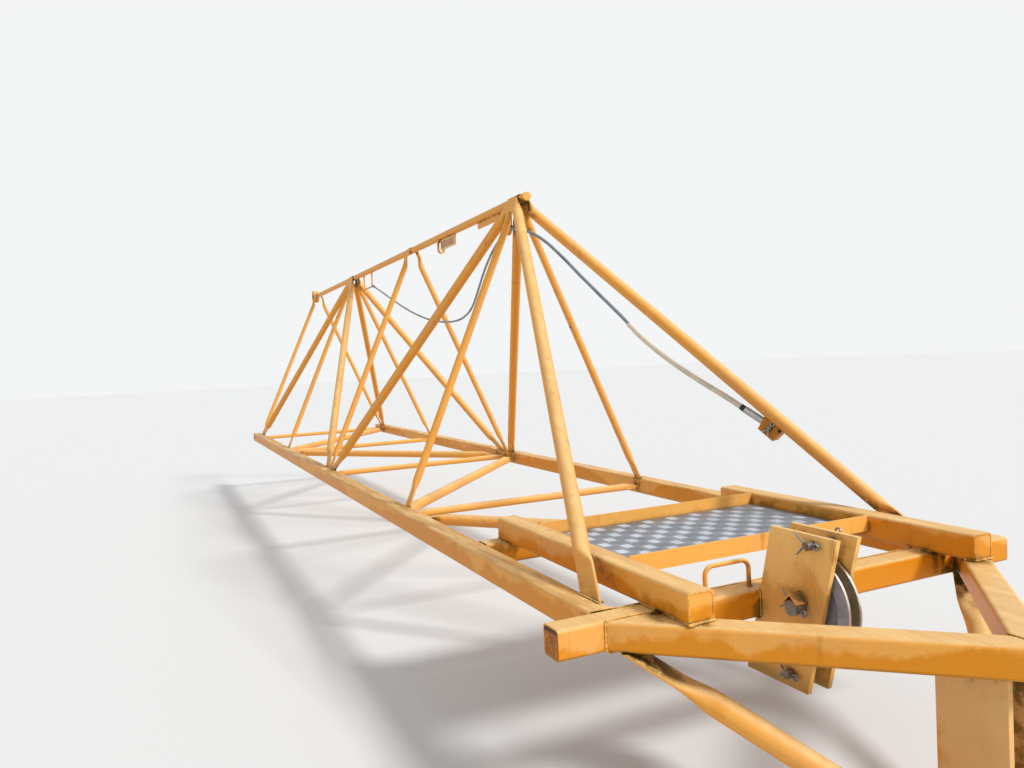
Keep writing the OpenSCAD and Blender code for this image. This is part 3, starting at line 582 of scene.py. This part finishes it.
# Moulded rubber collar: near black, dusty, faint mould lines
collarLook = {"black": "#1d1c1b", "dust": "#4a453d", "speck": 9}


def makeCollarRubber(name):
    look = collarLook
    material, add, spot = newMaterial(name)
    dust = add("TexNoise", {"Vector": spot, "Scale": 1000 / look["speck"], "Detail": 4.0})
    share = add("MapRange", {0: dust, 1: 0.45, 2: 0.75, 4: 0.5})
    coats = [(share, look["dust"])]
    closeSurface(add, look["black"], coats, {"Roughness": 0.6}, dust)
    return material


# Rust on cut steel: layered browns with flakes of old paint, darkest where water creeps
# under the upper edge and lifts the paint
rustLook = {"brown": "#a5611f", "orange": "#c07a26", "dark": "#3f2618", "paint": "#cf8a2c",
            "layer": 22, "grain": 4, "rimLow": 14, "rimHigh": 33}


def makeRustyEnd(name):
    look = rustLook
    material, add, spot = newMaterial(name)
    streaks = add("Mapping", {"Vector": spot, "Scale": (1, 1, 0.35)})
    layer = add("TexNoise", {"Vector": streaks, "Scale": 1000 / look["layer"], "Detail": 6.0, "Roughness": 0.7})
    fine = add("TexNoise", {"Vector": spot, "Scale": 1000 / look["grain"], "Detail": 3.0})
    up = add("SeparateXYZ", {0: spot}, 2)
    rim = add("MapRange", {0: up, 1: look["rimLow"] / 1000, 2: look["rimHigh"] / 1000})
    rim = add("Math", {0: rim, 1: 0.6, 2: layer}, operation="MULTIPLY_ADD")
    coats = []
    for pattern, start, full, most, tint in ((layer, 0.28, 0.46, 1.0, "brown"), (fine, 0.50, 0.66, 1.0, "orange"),
                                             (layer, 0.54, 0.60, 1.0, "paint"), (rim, 0.72, 0.88, 0.9, "dark")):
        share = add("MapRange", {0: pattern, 1: start, 2: full, 4: most})
        coats.append((share, look[tint]))
    closeSurface(add, look["dark"], coats, {"Roughness": 0.85}, layer, 0.5, 1.0)
    return material


tubePaint = makePaint("fadedTubeEnamel", stain=0.8)
barPaint = makePaint("fadedBarEnamel", lowEdge=-37.5, amberReach=0.78)
chordPaint = makePaint("soiledChordEnamel", lowEdge=-37.5, amberReach=0.84, wearAndCornerShade=1.3, soil=0.95)
railPaint = makePaint("fadedRailEnamel", lowEdge=37.8, amberReach=0.56, soil=0.5, jointShading=0.45)
anglePaint = makePaint("fadedAngleEnamel", {"chalked": "#f9b856", "tan": "#f2b15a"}, amberSpots=0.5, soil=0.2,
                       jointShading=0.15)
clevisPaint = makePaint("rustedClevisEnamel", {"chalked": "#e09a30", "tan": "#c07a20", "amber": "#cf820f",
                                               "cornerShade": "#4a2c14", "chipSpacing": 48, "chipSize": 10},
                        amberSpots=1.0, wearAndCornerShade=2.4, stain=1.3)
# The sheave plates' paint is cleaner and paler than the rest, and lightened further as painted light for the
# plates' brighter lighting
platePaint = makePaint("paleLitPlateEnamel", {"chalked": "#ffcf80", "tan": "#fbc573", "amber": "#e6ab58",
                                            "chipSize": 9},
                       lowEdge=-185, depth=395, amberReach=0.12, amberSpots=0.2, wearAndCornerShade=1.3, jointShading=0.35)
cheekPaint = makePaint("fadedCheekEnamel", {"chalked": "#e6b372", "tan": "#d9a362"}, lowEdge=-518, depth=480,
                       amberReach=0.3)
smallPaint = makePaint("wornFittingEnamel", amberSpots=0.9, wearAndCornerShade=1.6, stain=1.3)
weldPaint = makePaint("paintedWeldEnamel", amberSpots=0.9, wearAndCornerShade=1.9, stain=1.2)
zinc = makeZinc("zincPlatedSteel")
brightZinc = makeZinc("newerZincSteel", -0.6, {"metal": "#c8cccf", "dull": "#a7acaf", "bloom": "#dde0e0"})
brownedZinc = makeZinc("brownedPinSteel", 0.75)
treadRubbedSheen = makeTread("rubbedSheenAluminium", True)
rustyEnd = makeRustyEnd("rustedCutSteel")

# What is not named here is a tube
finishes = {name: finish for finish, names in (
    (chordPaint, "left_bottom_chord right_bottom_chord"),
    (barPaint, "tip_beam rear_beam left_raking_beam right_raking_beam"),
    (railPaint, "left_deck_rail right_deck_rail"),
    (anglePaint, "front_deck_angle rear_deck_angle"),
    (platePaint, "left_sheave_plate right_sheave_plate"),
    (cheekPaint, "left_nose_cheek right_nose_cheek"),
    (smallPaint, "hand_hold axle_keeper apex_lug rear_loop rope_lug marker_ring"),
    (clevisPaint, "lifeline_clevis"),
    (makeMarker("primedMarkerSteel"), "marker_plate"),
    (makeTread("rolledAluminium"), "tread_plate"),
    (makeSheaveIron("turnedSheaveSteel"), "sheave"),
    (zinc, "sheave_axle front_ferrule middle_ferrule rear_ferrule"),
    (brownedZinc, "rope_guard_pins"),
    (brightZinc, "lifeline_socket"),
    (makeCollarRubber("mouldedRubber"), "socket_collar"),
) for name in names.split()}


def finishNodes():
    for name, item in nodes.items():
        if name in ("lifeline_sleeve", "lifeline", "slack_rope"):
            continue
        item.data.materials.clear()
        item.data.materials.append(finishes.get(name, tubePaint))


finishNodes()
for piece, look in ((sleevePiece, "sleeve"), (lifePiece, "life"), (slackPiece, "slack")):
    piece.data.materials.append(makeRopeCover(look + "RopeCover", ropeLooks[look]))
print("finishes made")


# Pressed tubes: each lattice tube is round along its length and pressed flat at both ends; its
# head lies on the top chord's side, its foot stands along the inner edge of the bottom chord
pressed = {"sides": 28, "flatThick": 10, "widen": 0.72, "headFlat": 76, "headBlend": 80, "headShift": 17.3,
           "headTop": 14.5, "headLap": 34, "footFlat": 88, "footBlend": 62, "footOut": 602, "footLow": 36.8,
           "blendRings": 8, "widthPower": 0.8, "thickPower": 0.30}


def pressShares(z, length, look):
    # 0 where the tube is round, 1 where it is pressed flat, for its head and its foot
    shares = []
    for gap, flat, blend in ((z, look["headFlat"], look["headBlend"]),
                             (length - z, look["footFlat"], look["footBlend"])):
        t = min(1, max(0, 1 - (gap - flat) / blend))
        shares.append(t * t * (3 - 2 * t))
    return shares


def pressedTube(name, start, end, normal, diameter, look, past=60):
    # A cylinder along Z is cut into rings, which are pressed by their share, then set in place
    start, end = Vector(start), Vector(end)
    z = (end - start).normalized()
    length = (end - start).length
    y = (Vector(normal) - Vector(normal).dot(z) * z).normalized()
    deselectAll()
    bpy.ops.mesh.primitive_cylinder_add(vertices=look["sides"], radius=diameter / 2000,
                                        depth=(length + past) / 1000, location=(0, 0, (length + past) / 2000))
    tube = bpy.context.active_object
    tube.name = name
    bpy.ops.object.transform_apply()
    steps = [k / (look["blendRings"] - 1) for k in range(look["blendRings"])]
    heights = [look["headFlat"] + look["headBlend"] * step for step in steps]
    heights += [length - look["footFlat"] - look["footBlend"] * step for step in steps] + [length * 0.5]
    bpy.ops.object.mode_set(mode="EDIT")
    for height in heights:
        bpy.ops.mesh.select_all(action="SELECT")
        bpy.ops.mesh.bisect(plane_co=(0, 0, height / 1000), plane_no=(0, 0, 1))
    bpy.ops.object.mode_set(mode="OBJECT")
    half = diameter * look["widen"] / 1000
    thin = look["flatThick"] / 2000
    for vertex in tube.data.vertices:
        headShare, footShare = pressShares(vertex.co.z * 1000, length, look)
        share = max(headShare, footShare)
        c, s = (v / (diameter / 2000) for v in vertex.co.xy)
        flatX = half * math.copysign(abs(c) ** look["widthPower"], c)
        flatY = thin * math.copysign(abs(s) ** look["thickPower"], s)
        vertex.co.x += (flatX - vertex.co.x) * share
        vertex.co.y += (flatY - vertex.co.y) * share
        vertex.co.y += look["headShift"] * headShare / 1000
    turn = Matrix((y.cross(z), y, z)).transposed().to_4x4()
    tube.data.transform(Matrix.Translation(start / 1000) @ turn)
    return tube


def cutTube(tube, place, normal):
    # Cuts off what lies on the normal's side of a plane, and leaves the new end selected
    bpy.context.view_layer.objects.active = tube
    bpy.ops.object.mode_set(mode="EDIT")
    bpy.ops.mesh.select_mode(type="FACE")
    bpy.ops.mesh.select_all(action="SELECT")
    bpy.ops.mesh.bisect(plane_co=tuple(Vector(place) / 1000), plane_no=tuple(normal), clear_outer=True,
                        use_fill=True)


def endTube(tube):
    bpy.ops.mesh.select_all(action="SELECT")
    bpy.ops.mesh.normals_make_consistent(inside=False)
    bpy.ops.object.mode_set(mode="OBJECT")
    bpy.ops.object.shade_smooth_by_angle(angle=math.radians(38))


# The side tubes' heads and feet on the chords, each with its diameter
sideTubes = {
    "Post": [(nodeAt(i) + (100 if i == 4 else 0), nodeAt(i), 34) for i in range(1, 5)],
    "Forward": [(nodeAt(1), nodeAt(0) - 26, 48), (nodeAt(3), nodeAt(2) - 75, 48)],
    "Rear": [(nodeAt(i), nodeAt(i + 1) + 75, 48) for i in (1, 3)],
}


def tubeLine(side, headX, footX):
    # A side tube's axis and its outward direction
    head = Vector((headX, sideY(side, 8), jib["topAxis"]))
    foot = Vector((footX, sideY(side, pressed["footOut"]), 37.5))
    return head, foot, Vector((side, 0, 0)).cross(foot - head).normalized()


def sideTube(name, side, headX, footX, diameter):
    head, foot, out = tubeLine(side, headX, footX)
    ahead = (foot - head).normalized()
    look = dict(pressed, footFlat=pressed["footFlat"] * diameter / 48)
    tube = pressedTube(name, head - pressed["headLap"] * ahead, foot, out, diameter, look)
    cutTube(tube, (0, 0, jib["topAxis"] + pressed["headTop"]), (0, 0, 1))
    bpy.ops.object.mode_set(mode="OBJECT")
    cutTube(tube, (0, 0, pressed["footLow"]), (0, 0, -1))
    endTube(tube)
    return tube


def joinTubes(tubes, name, node):
    piece = dress(joinAll(tubes, name), tubePaint)
    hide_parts(node)


def addSideTubes():
    for side, word in ((-1, "left"), (1, "right")):
        for kind, node in (("Post", "_posts"), ("Forward", "_forward_diagonals"), ("Rear", "_rear_diagonals")):
            tubes = [sideTube(kind, side, *ends) for ends in sideTubes[kind]]
            joinTubes(tubes, word + kind + "Tubes", word + node)
    print("side tubes pressed")


noseTubeLook = dict(pressed, headFlat=165, headBlend=130, headShift=0, footFlat=30, footBlend=110,
                    start=(6787.8, 607, -37.8), end=(7295, 45.3, -482.8), diameter=60, topCut=-37.9, sideCut=45.4)


def addNoseTubes():
    look = noseTubeLook
    for side, word in ((-1, "left"), (1, "right")):
        start, end = (Vector((x, sideY(side, away), z)) for x, away, z in (look["start"], look["end"]))
        ahead = (end - start).normalized()
        tube = pressedTube("noseTube", start - 60 * ahead, end, (0, 0, 1), look["diameter"], look)
        cutTube(tube, (0, 0, look["topCut"]), (0, 0, 1))
        bpy.ops.object.mode_set(mode="OBJECT")
        cutTube(tube, (0, sideY(side, look["sideCut"]), 0), (0, -side, 0))
        endTube(tube)
        joinTubes([tube], word + "NoseTube", word + "_nose_tube")
    print("nose tubes pressed")


addSideTubes()
addNoseTubes()


# Tread bars: groups of five on the tread plate, turned a quarter from one group to the next
tread = {"pitch": 50, "barLength": 38, "barWidth": 5.0, "barHeight": 1.6, "barPitch": 8.2,
         "topShare": (0.84, 0.42, 1), "sunk": 0.2, "corner": 1.2}


def addTreadBars():
    low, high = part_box("tread_plate")
    size = tread
    bar = addBlock("treadBars", (size["barLength"], size["barWidth"], size["barHeight"]))
    pick(bar, "FACE", lambda face: face.normal.z > 0.9)
    bpy.ops.transform.resize(value=size["topShare"])
    bpy.ops.object.mode_set(mode="OBJECT")
    pick(bar, "EDGE", lambda edge: abs(edgeSpan(bar, edge).z) > 0.0005)
    bpy.ops.mesh.bevel(offset=size["corner"] / 1000, segments=2)
    bpy.ops.object.mode_set(mode="OBJECT")
    places = []
    across = int((high.y - low.y) * 1000 // size["pitch"])
    along = int((high.x - low.x) * 1000 // size["pitch"])
    pitch = size["pitch"] / 1000
    startX = (low.x + high.x) / 2 - (along - 1) * pitch / 2
    startY = (low.y + high.y) / 2 - (across - 1) * pitch / 2
    height = high.z + (size["barHeight"] / 2 - size["sunk"]) / 1000
    for i in range(along):
        for j in range(across):
            turn = Matrix.Rotation(math.radians(90 if (i + j) % 2 else 0), 4, "Z")
            middle = Matrix.Translation((startX + i * pitch, startY + j * pitch, height))
            for k in range(-2, 3):
                places.append(middle @ turn @ Matrix.Translation((0, k * size["barPitch"] / 1000, 0)))
    piece = copyTo(bar, places, "treadBars")
    dress(piece, treadRubbedSheen)
    print("tread bars:", len(places))


addTreadBars()


# Split pins: one bent wire each, with its eye toward one side and its legs bent apart
splitPins = {
    "finish": {"lowerSplitPin": brownedZinc, "farLowerSplitPin": brownedZinc, "clevisSplitPin": brightZinc},
    "wire": 5.0,
    "thinWire": {"clevisSplitPin": 4.0},
    "sides": 10,
    "apart": 4.6,        # distance between the legs
    "eyeRadius": 7,
    "legBend": 6,        # bend radius of the legs and of the neck under the eye
    "neckBend": 5,
    "places": [
        # where its pin is drilled, radius of that pin, heading of the eye, width axis, leg length, spread
        ("axleSplitPin", (6928, 413, 30), 19, (1, 0, -0.28), (0, 0, 1), 27, 0.9),
        ("upperSplitPin", (6972, 421, 187), 11, (1, 0, 0.05), (0, 0, 1), 32, 0.85),
        ("lowerSplitPin", (6890, 421, -148), 11, (1, 0, -0.1), (0, 0, 1), 28, 0.9),
        ("clevisSplitPin", (6170.6, 1049.1, 369.6), 8, (0.583, 0.226, 0.781), (0.728, 0.282, -0.625), 17, 0.7),
        ("farAxleSplitPin", (6928, 531, 30), 19, (0.2, 0, 1), (1, 0, 0), 26, 0.9),
        ("farUpperSplitPin", (6972, 523, 187), 11, (-0.3, 0, 1), (1, 0, 0), 28, 0.8),
        ("farLowerSplitPin", (6890, 523, -148), 11, (-0.6, 0, 1), (1, 0, 0), 28, 0.8),
    ],
}


def bentWire(name, radius, start, heading, across, moves, sides):
    # A disc is pushed along: a run extrudes it, a bend spins it about a centre beside it
    ahead = Vector(heading).normalized()
    axis = ahead.cross(Vector(across)).normalized()
    place = Vector(start)
    turn = ahead.to_track_quat("Z", "Y").to_euler()
    deselectAll()
    bpy.ops.mesh.primitive_circle_add(vertices=sides, radius=radius, fill_type="NGON", location=place,
                                      rotation=turn)
    wire = bpy.context.active_object
    wire.name = name
    bpy.ops.object.transform_apply()
    bpy.ops.object.mode_set(mode="EDIT")
    bpy.ops.mesh.select_mode(type="FACE")
    bpy.ops.mesh.select_all(action="SELECT")
    for kind, amount, bend in moves:
        if kind == "run":
            bpy.ops.mesh.extrude_region_move(TRANSFORM_OT_translate={"value": tuple(ahead * amount)})
            place = place + ahead * amount
        else:
            inward = axis.cross(ahead) * (1 if amount > 0 else -1)
            centre = place + inward * bend
            angle = math.radians(amount)
            steps = max(2, round(abs(amount) / 18))
            bpy.ops.mesh.spin(steps=steps, angle=-angle, center=tuple(centre), axis=tuple(axis))
            turned = Matrix.Rotation(angle, 3, axis)
            place = centre + turned @ (place - centre)
            ahead = turned @ ahead
    bpy.ops.mesh.select_all(action="SELECT")
    bpy.ops.mesh.remove_doubles(threshold=0.00001)
    bpy.ops.mesh.normals_make_consistent(inside=False)
    bpy.ops.object.mode_set(mode="OBJECT")
    bpy.ops.object.shade_smooth_by_angle(angle=math.radians(40))
    return wire


def addSplitPins():
    size = splitPins
    neck, bend = size["neckBend"], size["legBend"] / 1000
    lean = math.degrees(math.acos((2 * neck + size["apart"]) / (2 * neck + 2 * size["eyeRadius"])))
    for name, middle, pinRadius, heading, across, leg, spread in size["places"]:
        ahead = Vector(heading).normalized()
        axis = ahead.cross(Vector(across)).normalized()
        side = axis.cross(ahead)
        through = 2 * pinRadius + 3
        bendAngle = 50 * spread
        # the first leg's tip: back through the bend from the pin's rear side
        centre = Vector(middle) / 1000
        entry = centre - ahead * (pinRadius + 1.5) / 1000 + side * (-size["apart"] / 2) / 1000
        turned = Matrix.Rotation(math.radians(bendAngle), 3, axis)
        legAhead = turned @ ahead
        bendCentre = entry - side * bend
        start = bendCentre + turned @ (entry - bendCentre) - legAhead * leg / 1000
        throughPin = ("run", through / 1000, 0)
        moves = [("run", leg / 1000, 0), ("bend", -bendAngle, bend), throughPin, ("bend", -lean, neck / 1000),
                 ("bend", 180 + 2 * lean, size["eyeRadius"] / 1000), ("bend", -lean, neck / 1000), throughPin,
                 ("bend", -bendAngle, bend), ("run", (leg + 5) / 1000, 0)]
        wireSize = size["thinWire"].get(name, size["wire"])
        wire = bentWire(name, wireSize / 2000, start, legAhead, across, moves, size["sides"])
        dress(wire, size["finish"].get(name, zinc))
    print("split pins:", len(size["places"]))


addSplitPins()


# Clevis pin: a headed pin, drilled at its near end for its split pin
clevisPin = {"middle": (6160.1, 1076.1, 369.6), "axis": (0.3613, -0.9327, 0), "half": 23.5, "out": 12,
             "radius": 8, "headRadius": 13, "headThick": 5, "edge": 1.2}


def addClevisPin():
    size = clevisPin
    deselectAll()
    bpy.ops.mesh.primitive_cylinder_add(vertices=32, radius=size["headRadius"] / 1000,
                                        depth=size["headThick"] / 1000,
                                        location=(0, 0, -(size["half"] + size["headThick"] / 2) / 1000))
    pin = bpy.context.active_object
    pin.name = "clevisPin"
    bpy.ops.object.transform_apply()
    pick(pin, "FACE", lambda face: face.normal.z > 0.9)
    bpy.ops.mesh.inset(thickness=(size["headRadius"] - size["radius"]) / 1000)
    shank = (0, 0, (2 * size["half"] + size["out"]) / 1000)
    bpy.ops.mesh.extrude_region_move(TRANSFORM_OT_translate={"value": shank})
    bpy.ops.mesh.bevel(offset=size["edge"] / 1000, segments=2)
    bpy.ops.object.mode_set(mode="OBJECT")
    pick(pin, "FACE", lambda face: face.normal.z < -0.9)
    bpy.ops.mesh.bevel(offset=size["edge"] / 1000, segments=2)
    bpy.ops.object.mode_set(mode="OBJECT")
    bpy.ops.object.shade_smooth_by_angle(angle=math.radians(35))
    pin.data.transform(turnTo(size["middle"], size["axis"]) @ Matrix.Rotation(math.radians(90), 4, "Y"))
    dress(pin, brownedZinc)
    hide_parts("clevis_pin")
    print("clevis pin set")


addClevisPin()


# Weld beads: one flattened drop of weld, repeated along every seam
weld = {"pitch": 5.0, "leg": 7.0, "sides": 8, "rings": 5, "seed": 4}


def weldDrop():
    deselectAll()
    bpy.ops.mesh.primitive_uv_sphere_add(segments=weld["sides"], ring_count=weld["rings"], radius=0.5)
    drop = bpy.context.active_object
    drop.scale = (1.25, 1, 1)
    bpy.ops.object.transform_apply()
    bpy.ops.object.mode_set(mode="EDIT")
    bpy.ops.mesh.select_all(action="SELECT")
    bpy.ops.mesh.bisect(plane_co=(-0.35, 0, 0), plane_no=(-1, 0, 0), clear_outer=True, use_fill=True)
    bpy.ops.object.mode_set(mode="OBJECT")
    bpy.ops.object.shade_smooth()
    return drop


def weldPlaces(seams):
    # seams are lists of corner points in millimetres, each with its own bead width
    chance = random.Random(weld["seed"])
    places = []
    for leg, points in seams:
        for a, b in zip(points, points[1:]):
            a, b = Vector(a), Vector(b)
            length = (b - a).length
            count = max(1, round(length / weld["pitch"]))
            for k in range(count):
                middle = a.lerp(b, (k + 0.5) / count)
                size = leg * chance.uniform(0.88, 1.12) / 1000
                places.append(turnTo(middle, b - a) @ Matrix.Diagonal((size * 1.15, size, size, 1)))
    return places


def addWelds(name, seams):
    drop = weldDrop()
    places = weldPlaces(seams)
    dress(copyTo(drop, places, name), weldPaint)
    print(name, len(places), "drops")


def alongX(leg, start, end, y, z):
    return leg, [(start, y, z), (end, y, z)]


def circle(count):
    angles = (math.radians(360 / count * k) for k in range(count + 1))
    return [(math.cos(t), math.sin(t)) for t in angles]


def tubeSeams(side, headX, footX, diameter):
    # Seams of one side tube: over and under its flat head, and along both sides of its foot
    head, foot, out = tubeLine(side, headX, footX)
    slope = (foot.x - head.x) / (foot.z - head.z)
    reach = diameter * pressed["widen"] * math.hypot(1, slope * out.y)
    seams = [alongX(6.5, footX - reach, footX + reach, sideY(side, pressed["footOut"] + away), 38.5)
             for away in (-7, 7)]
    for away, rise in ((15.5, 16), (20.5, -6)):
        x = headX + slope * rise
        seams.append(alongX(5.5, x - reach, x + reach, sideY(side, away), jib["topAxis"] + rise))
    return seams


def latticeSeams():
    seams = []
    for side in (-1, 1):
        diagonals = zip(sideTubes["Forward"], sideTubes["Rear"])
        for ends in sideTubes["Post"] + [ends for pair in diagonals for ends in pair]:
            seams += tubeSeams(side, *ends)
        # the bottom face's tubes, straight and slanting, on the chords' inner faces
        crossings = [(nodeAt(i), 24) for i in range(1, 5)]
        slanting = ((1, -90), (1, 90), (3, -90), (3, 90)) if side < 0 else ((2, 90), (4, 90), (2, -90))
        crossings += [(nodeAt(i) + off, 52) for i, off in slanting]
        y = sideY(side, jib["chordFace"] - 1)
        seams += [alongX(6, x - half, x + half, y, z) for x, half in crossings for z in (-6, 6)]
    return seams


def boxSeam(x, y, halfY, halfZ, z=0.0, leg=8):
    # Round a box bar's section in a plane across X
    c = 8
    left, right, low, top = y - halfY, y + halfY, z - halfZ, z + halfZ
    ring = [(left + c, top), (right - c, top), (right, top - c), (right, low + c), (right - c, low),
            (left + c, low), (left, low + c), (left, top - c), (left + c, top)]
    return leg, [(x, *point) for point in ring]


def tipSeams():
    seams = []
    beam, rear, front, rail = jib["beam"], jib["rearBeam"], jib["railFront"], jib["railMiddle"]
    for side in (-1, 1):
        seams.append(boxSeam(beam - 38, sideY(side, 630), 38, 38))
        seams.append(boxSeam(beam + 37.5, sideY(side, 665 - 54.8), 55, 38))
        # the rails lie on the tip beam, on the raking beams and on the rear beam
        for edge, start in ((-1, 6887), (1, 6818)):
            y = sideY(side, rail + edge * 33)
            seams += [alongX(9, beam - 30, beam + 32, y, 39), alongX(8, start, front, y, 39),
                      alongX(8, rear - 28, rear + 28, y, 39)]
        seams.append((11, [(front + 1, sideY(side, rail + away), 39) for away in (-34, 34)]))
        seams += [boxSeam(x, sideY(side, rail), 34, 34, jib["railHeight"], 6)
                  for x in (front - 1, jib["railBack"] + 1)]
        seams.append(boxSeam(rear, sideY(side, 592), 3, 36, 0, 5))
    # the raking beams meet in the jib's centre plane
    y = jib["middle"]
    return seams + [alongX(8, 7310, 7408, y, 38), (8, [(7412, y, 30), (7412, y, -30)]),
                    alongX(8, 7310, 7408, y, -38)]


def deckSeams():
    seams = []
    for x, turn in ((jib["beam"] - 185, -1), (jib["beam"] - 726, 1)):
        for y in (sideY(-1, 449), sideY(1, 449)):
            seams += [(6, [(x - turn, y, 66), (x - turn, y, 110)]),
                      alongX(6, x + turn * 6, x + turn * 48, y, 71),
                      alongX(6, x + turn * 3, x + turn * 48, y, 61.5)]
    # hand hold feet
    return seams + [(4.5, [(jib["beam"] + 7 * c, y + 7 * s, 38.6) for c, s in circle(12)]) for y in (287, 429)]


def bracketSeams():
    seams = []
    beam, top = jib["beam"], jib["topAxis"]
    for y in (jib["bracket"] + away for away in (-40.5, -25.5, 25.5, 40.5)):
        seams += [(8, [(beam + 39, y, 31), (beam + 39, y, -31)]), alongX(7, beam + 31, beam + 19, y, -39)]
    # keeper over the axle
    x, z = jib["axle"]
    y = jib["bracket"] - 40
    seams.append((6, [(x - 22, y, z + 15), (x, y, z + 37), (x + 22, y, z + 15)]))
    # nose cheeks under the raking beams
    seams += [alongX(8, 7171, 7333, sideY(side, away), -39) for side in (-1, 1) for away in (29, 46)]
    # lugs and marker along the top chord
    for y in (jib["middle"] - 5, jib["middle"] + 5):
        seams += [alongX(*seam, y, top - 20.5) for seam in ((6, 4898, 4954), (6, 4552, 4824), (5, 3976, 4206))]
    return seams + [(7, [(221, jib["middle"] + 21 * c, top + 21 * s) for c, s in circle(24)])]


addWelds("latticeWelds", latticeSeams())
addWelds("tipWelds", tipSeams())
addWelds("deckWelds", deckSeams())
addWelds("bracketWelds", bracketSeams())


# End caps: the tip beam's open ends are closed with plates that have rusted
endCap = {"inset": 5, "thick": 3, "corner": 9, "border": 4, "dished": 0.8}


def addEndCaps():
    low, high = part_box("tip_beam")
    for side, y in ((-1, low.y), (1, high.y)):
        name = "leftBeamCap" if side < 0 else "rightBeamCap"
        wide = jib["box"] - 2 * endCap["inset"]
        cap = addBlock(name, (wide, endCap["thick"], wide), (jib["beam"], y * 1000, 0))
        pick(cap, "EDGE", lambda edge: abs(edgeSpan(cap, edge).y) > 0.001)
        bpy.ops.mesh.bevel(offset=endCap["corner"] / 1000, segments=4)
        bpy.ops.object.mode_set(mode="OBJECT")
        pick(cap, "FACE", lambda face: face.normal.y * side > 0.9)
        bpy.ops.mesh.inset(thickness=endCap["border"] / 1000, depth=-endCap["dished"] / 1000)
        bpy.ops.object.mode_set(mode="OBJECT")
        dress(cap, rustyEnd)
    print("end caps set")


addEndCaps()


# Ledge: a flat strip along the tip beam's rear face, a little below its top
ledge = {"thick": 8, "height": 42, "top": 36, "from": 40, "to": 1220, "edge": 1.5}


def addLedge():
    size = ledge
    strip = addBlock("beamLedge", (size["thick"], size["to"] - size["from"], size["height"]),
                     (jib["beam"] - (jib["box"] + size["thick"]) / 2, (size["from"] + size["to"]) / 2,
                      size["top"] - size["height"] / 2))
    pick(strip, "EDGE", lambda edge: True)
    bpy.ops.mesh.bevel(offset=size["edge"] / 1000, segments=2)
    bpy.ops.object.mode_set(mode="OBJECT")
    dress(strip, barPaint)
    print("ledge set")


addLedge()


floorLook = {"height": -0.5185, "half": 60, "colour": "#e6e6e4"}


def addFloor():
    deselectAll()
    bpy.ops.mesh.primitive_plane_add(size=2 * floorLook["half"], location=(3.7, 0.6, floorLook["height"]))
    floor = bpy.context.active_object
    floor.name = "floor"
    bpy.ops.object.transform_apply()
    material, add, spot = newMaterial("paleFloor")
    closeSurface(add, floorLook["colour"], [], {"Roughness": 0.9, "Specular IOR Level": 0.1})
    floor.data.materials.append(material)


studio = {"fill": 0.60, "fillColour": "#f2f4f8", "key": 2.6, "keyFrom": (0.62, 0.40, 0.66),
          "softness": 12, "backdrop": "#f4f5f6"}


def addLights():
    world = bpy.context.scene.world or bpy.data.worlds.new("world")
    bpy.context.scene.world = world
    world.use_nodes = True
    world.node_tree.nodes.clear()
    add = functools.partial(addNode, world.node_tree)
    rays = add("LightPath").node.outputs
    seen = add("Math", {0: rays["Is Camera Ray"], 1: rays["Is Glossy Ray"]}, operation="MAXIMUM")
    seen = add("Math", {0: seen, 1: rays["Is Transmission Ray"]}, operation="MAXIMUM")
    fill = add("Background", {"Color": studio["fillColour"], "Strength": studio["fill"]})
    backdrop = add("Background", {"Color": studio["backdrop"], "Strength": 1.0})
    add("OutputWorld", {0: add("MixShader", {0: seen, 1: fill, 2: backdrop})})
    key = bpy.data.lights.new("softKey", "SUN")
    key.energy = studio["key"]
    key.angle = math.radians(studio["softness"])
    lamp = bpy.data.objects.new("softKey", key)
    lamp.rotation_euler = Vector(studio["keyFrom"]).to_track_quat("Z", "Y").to_euler()
    bpy.context.scene.collection.objects.link(lamp)


addFloor()
addLights()
bpy.context.scene.view_settings.view_transform = "Standard"
print("floor and lights set")
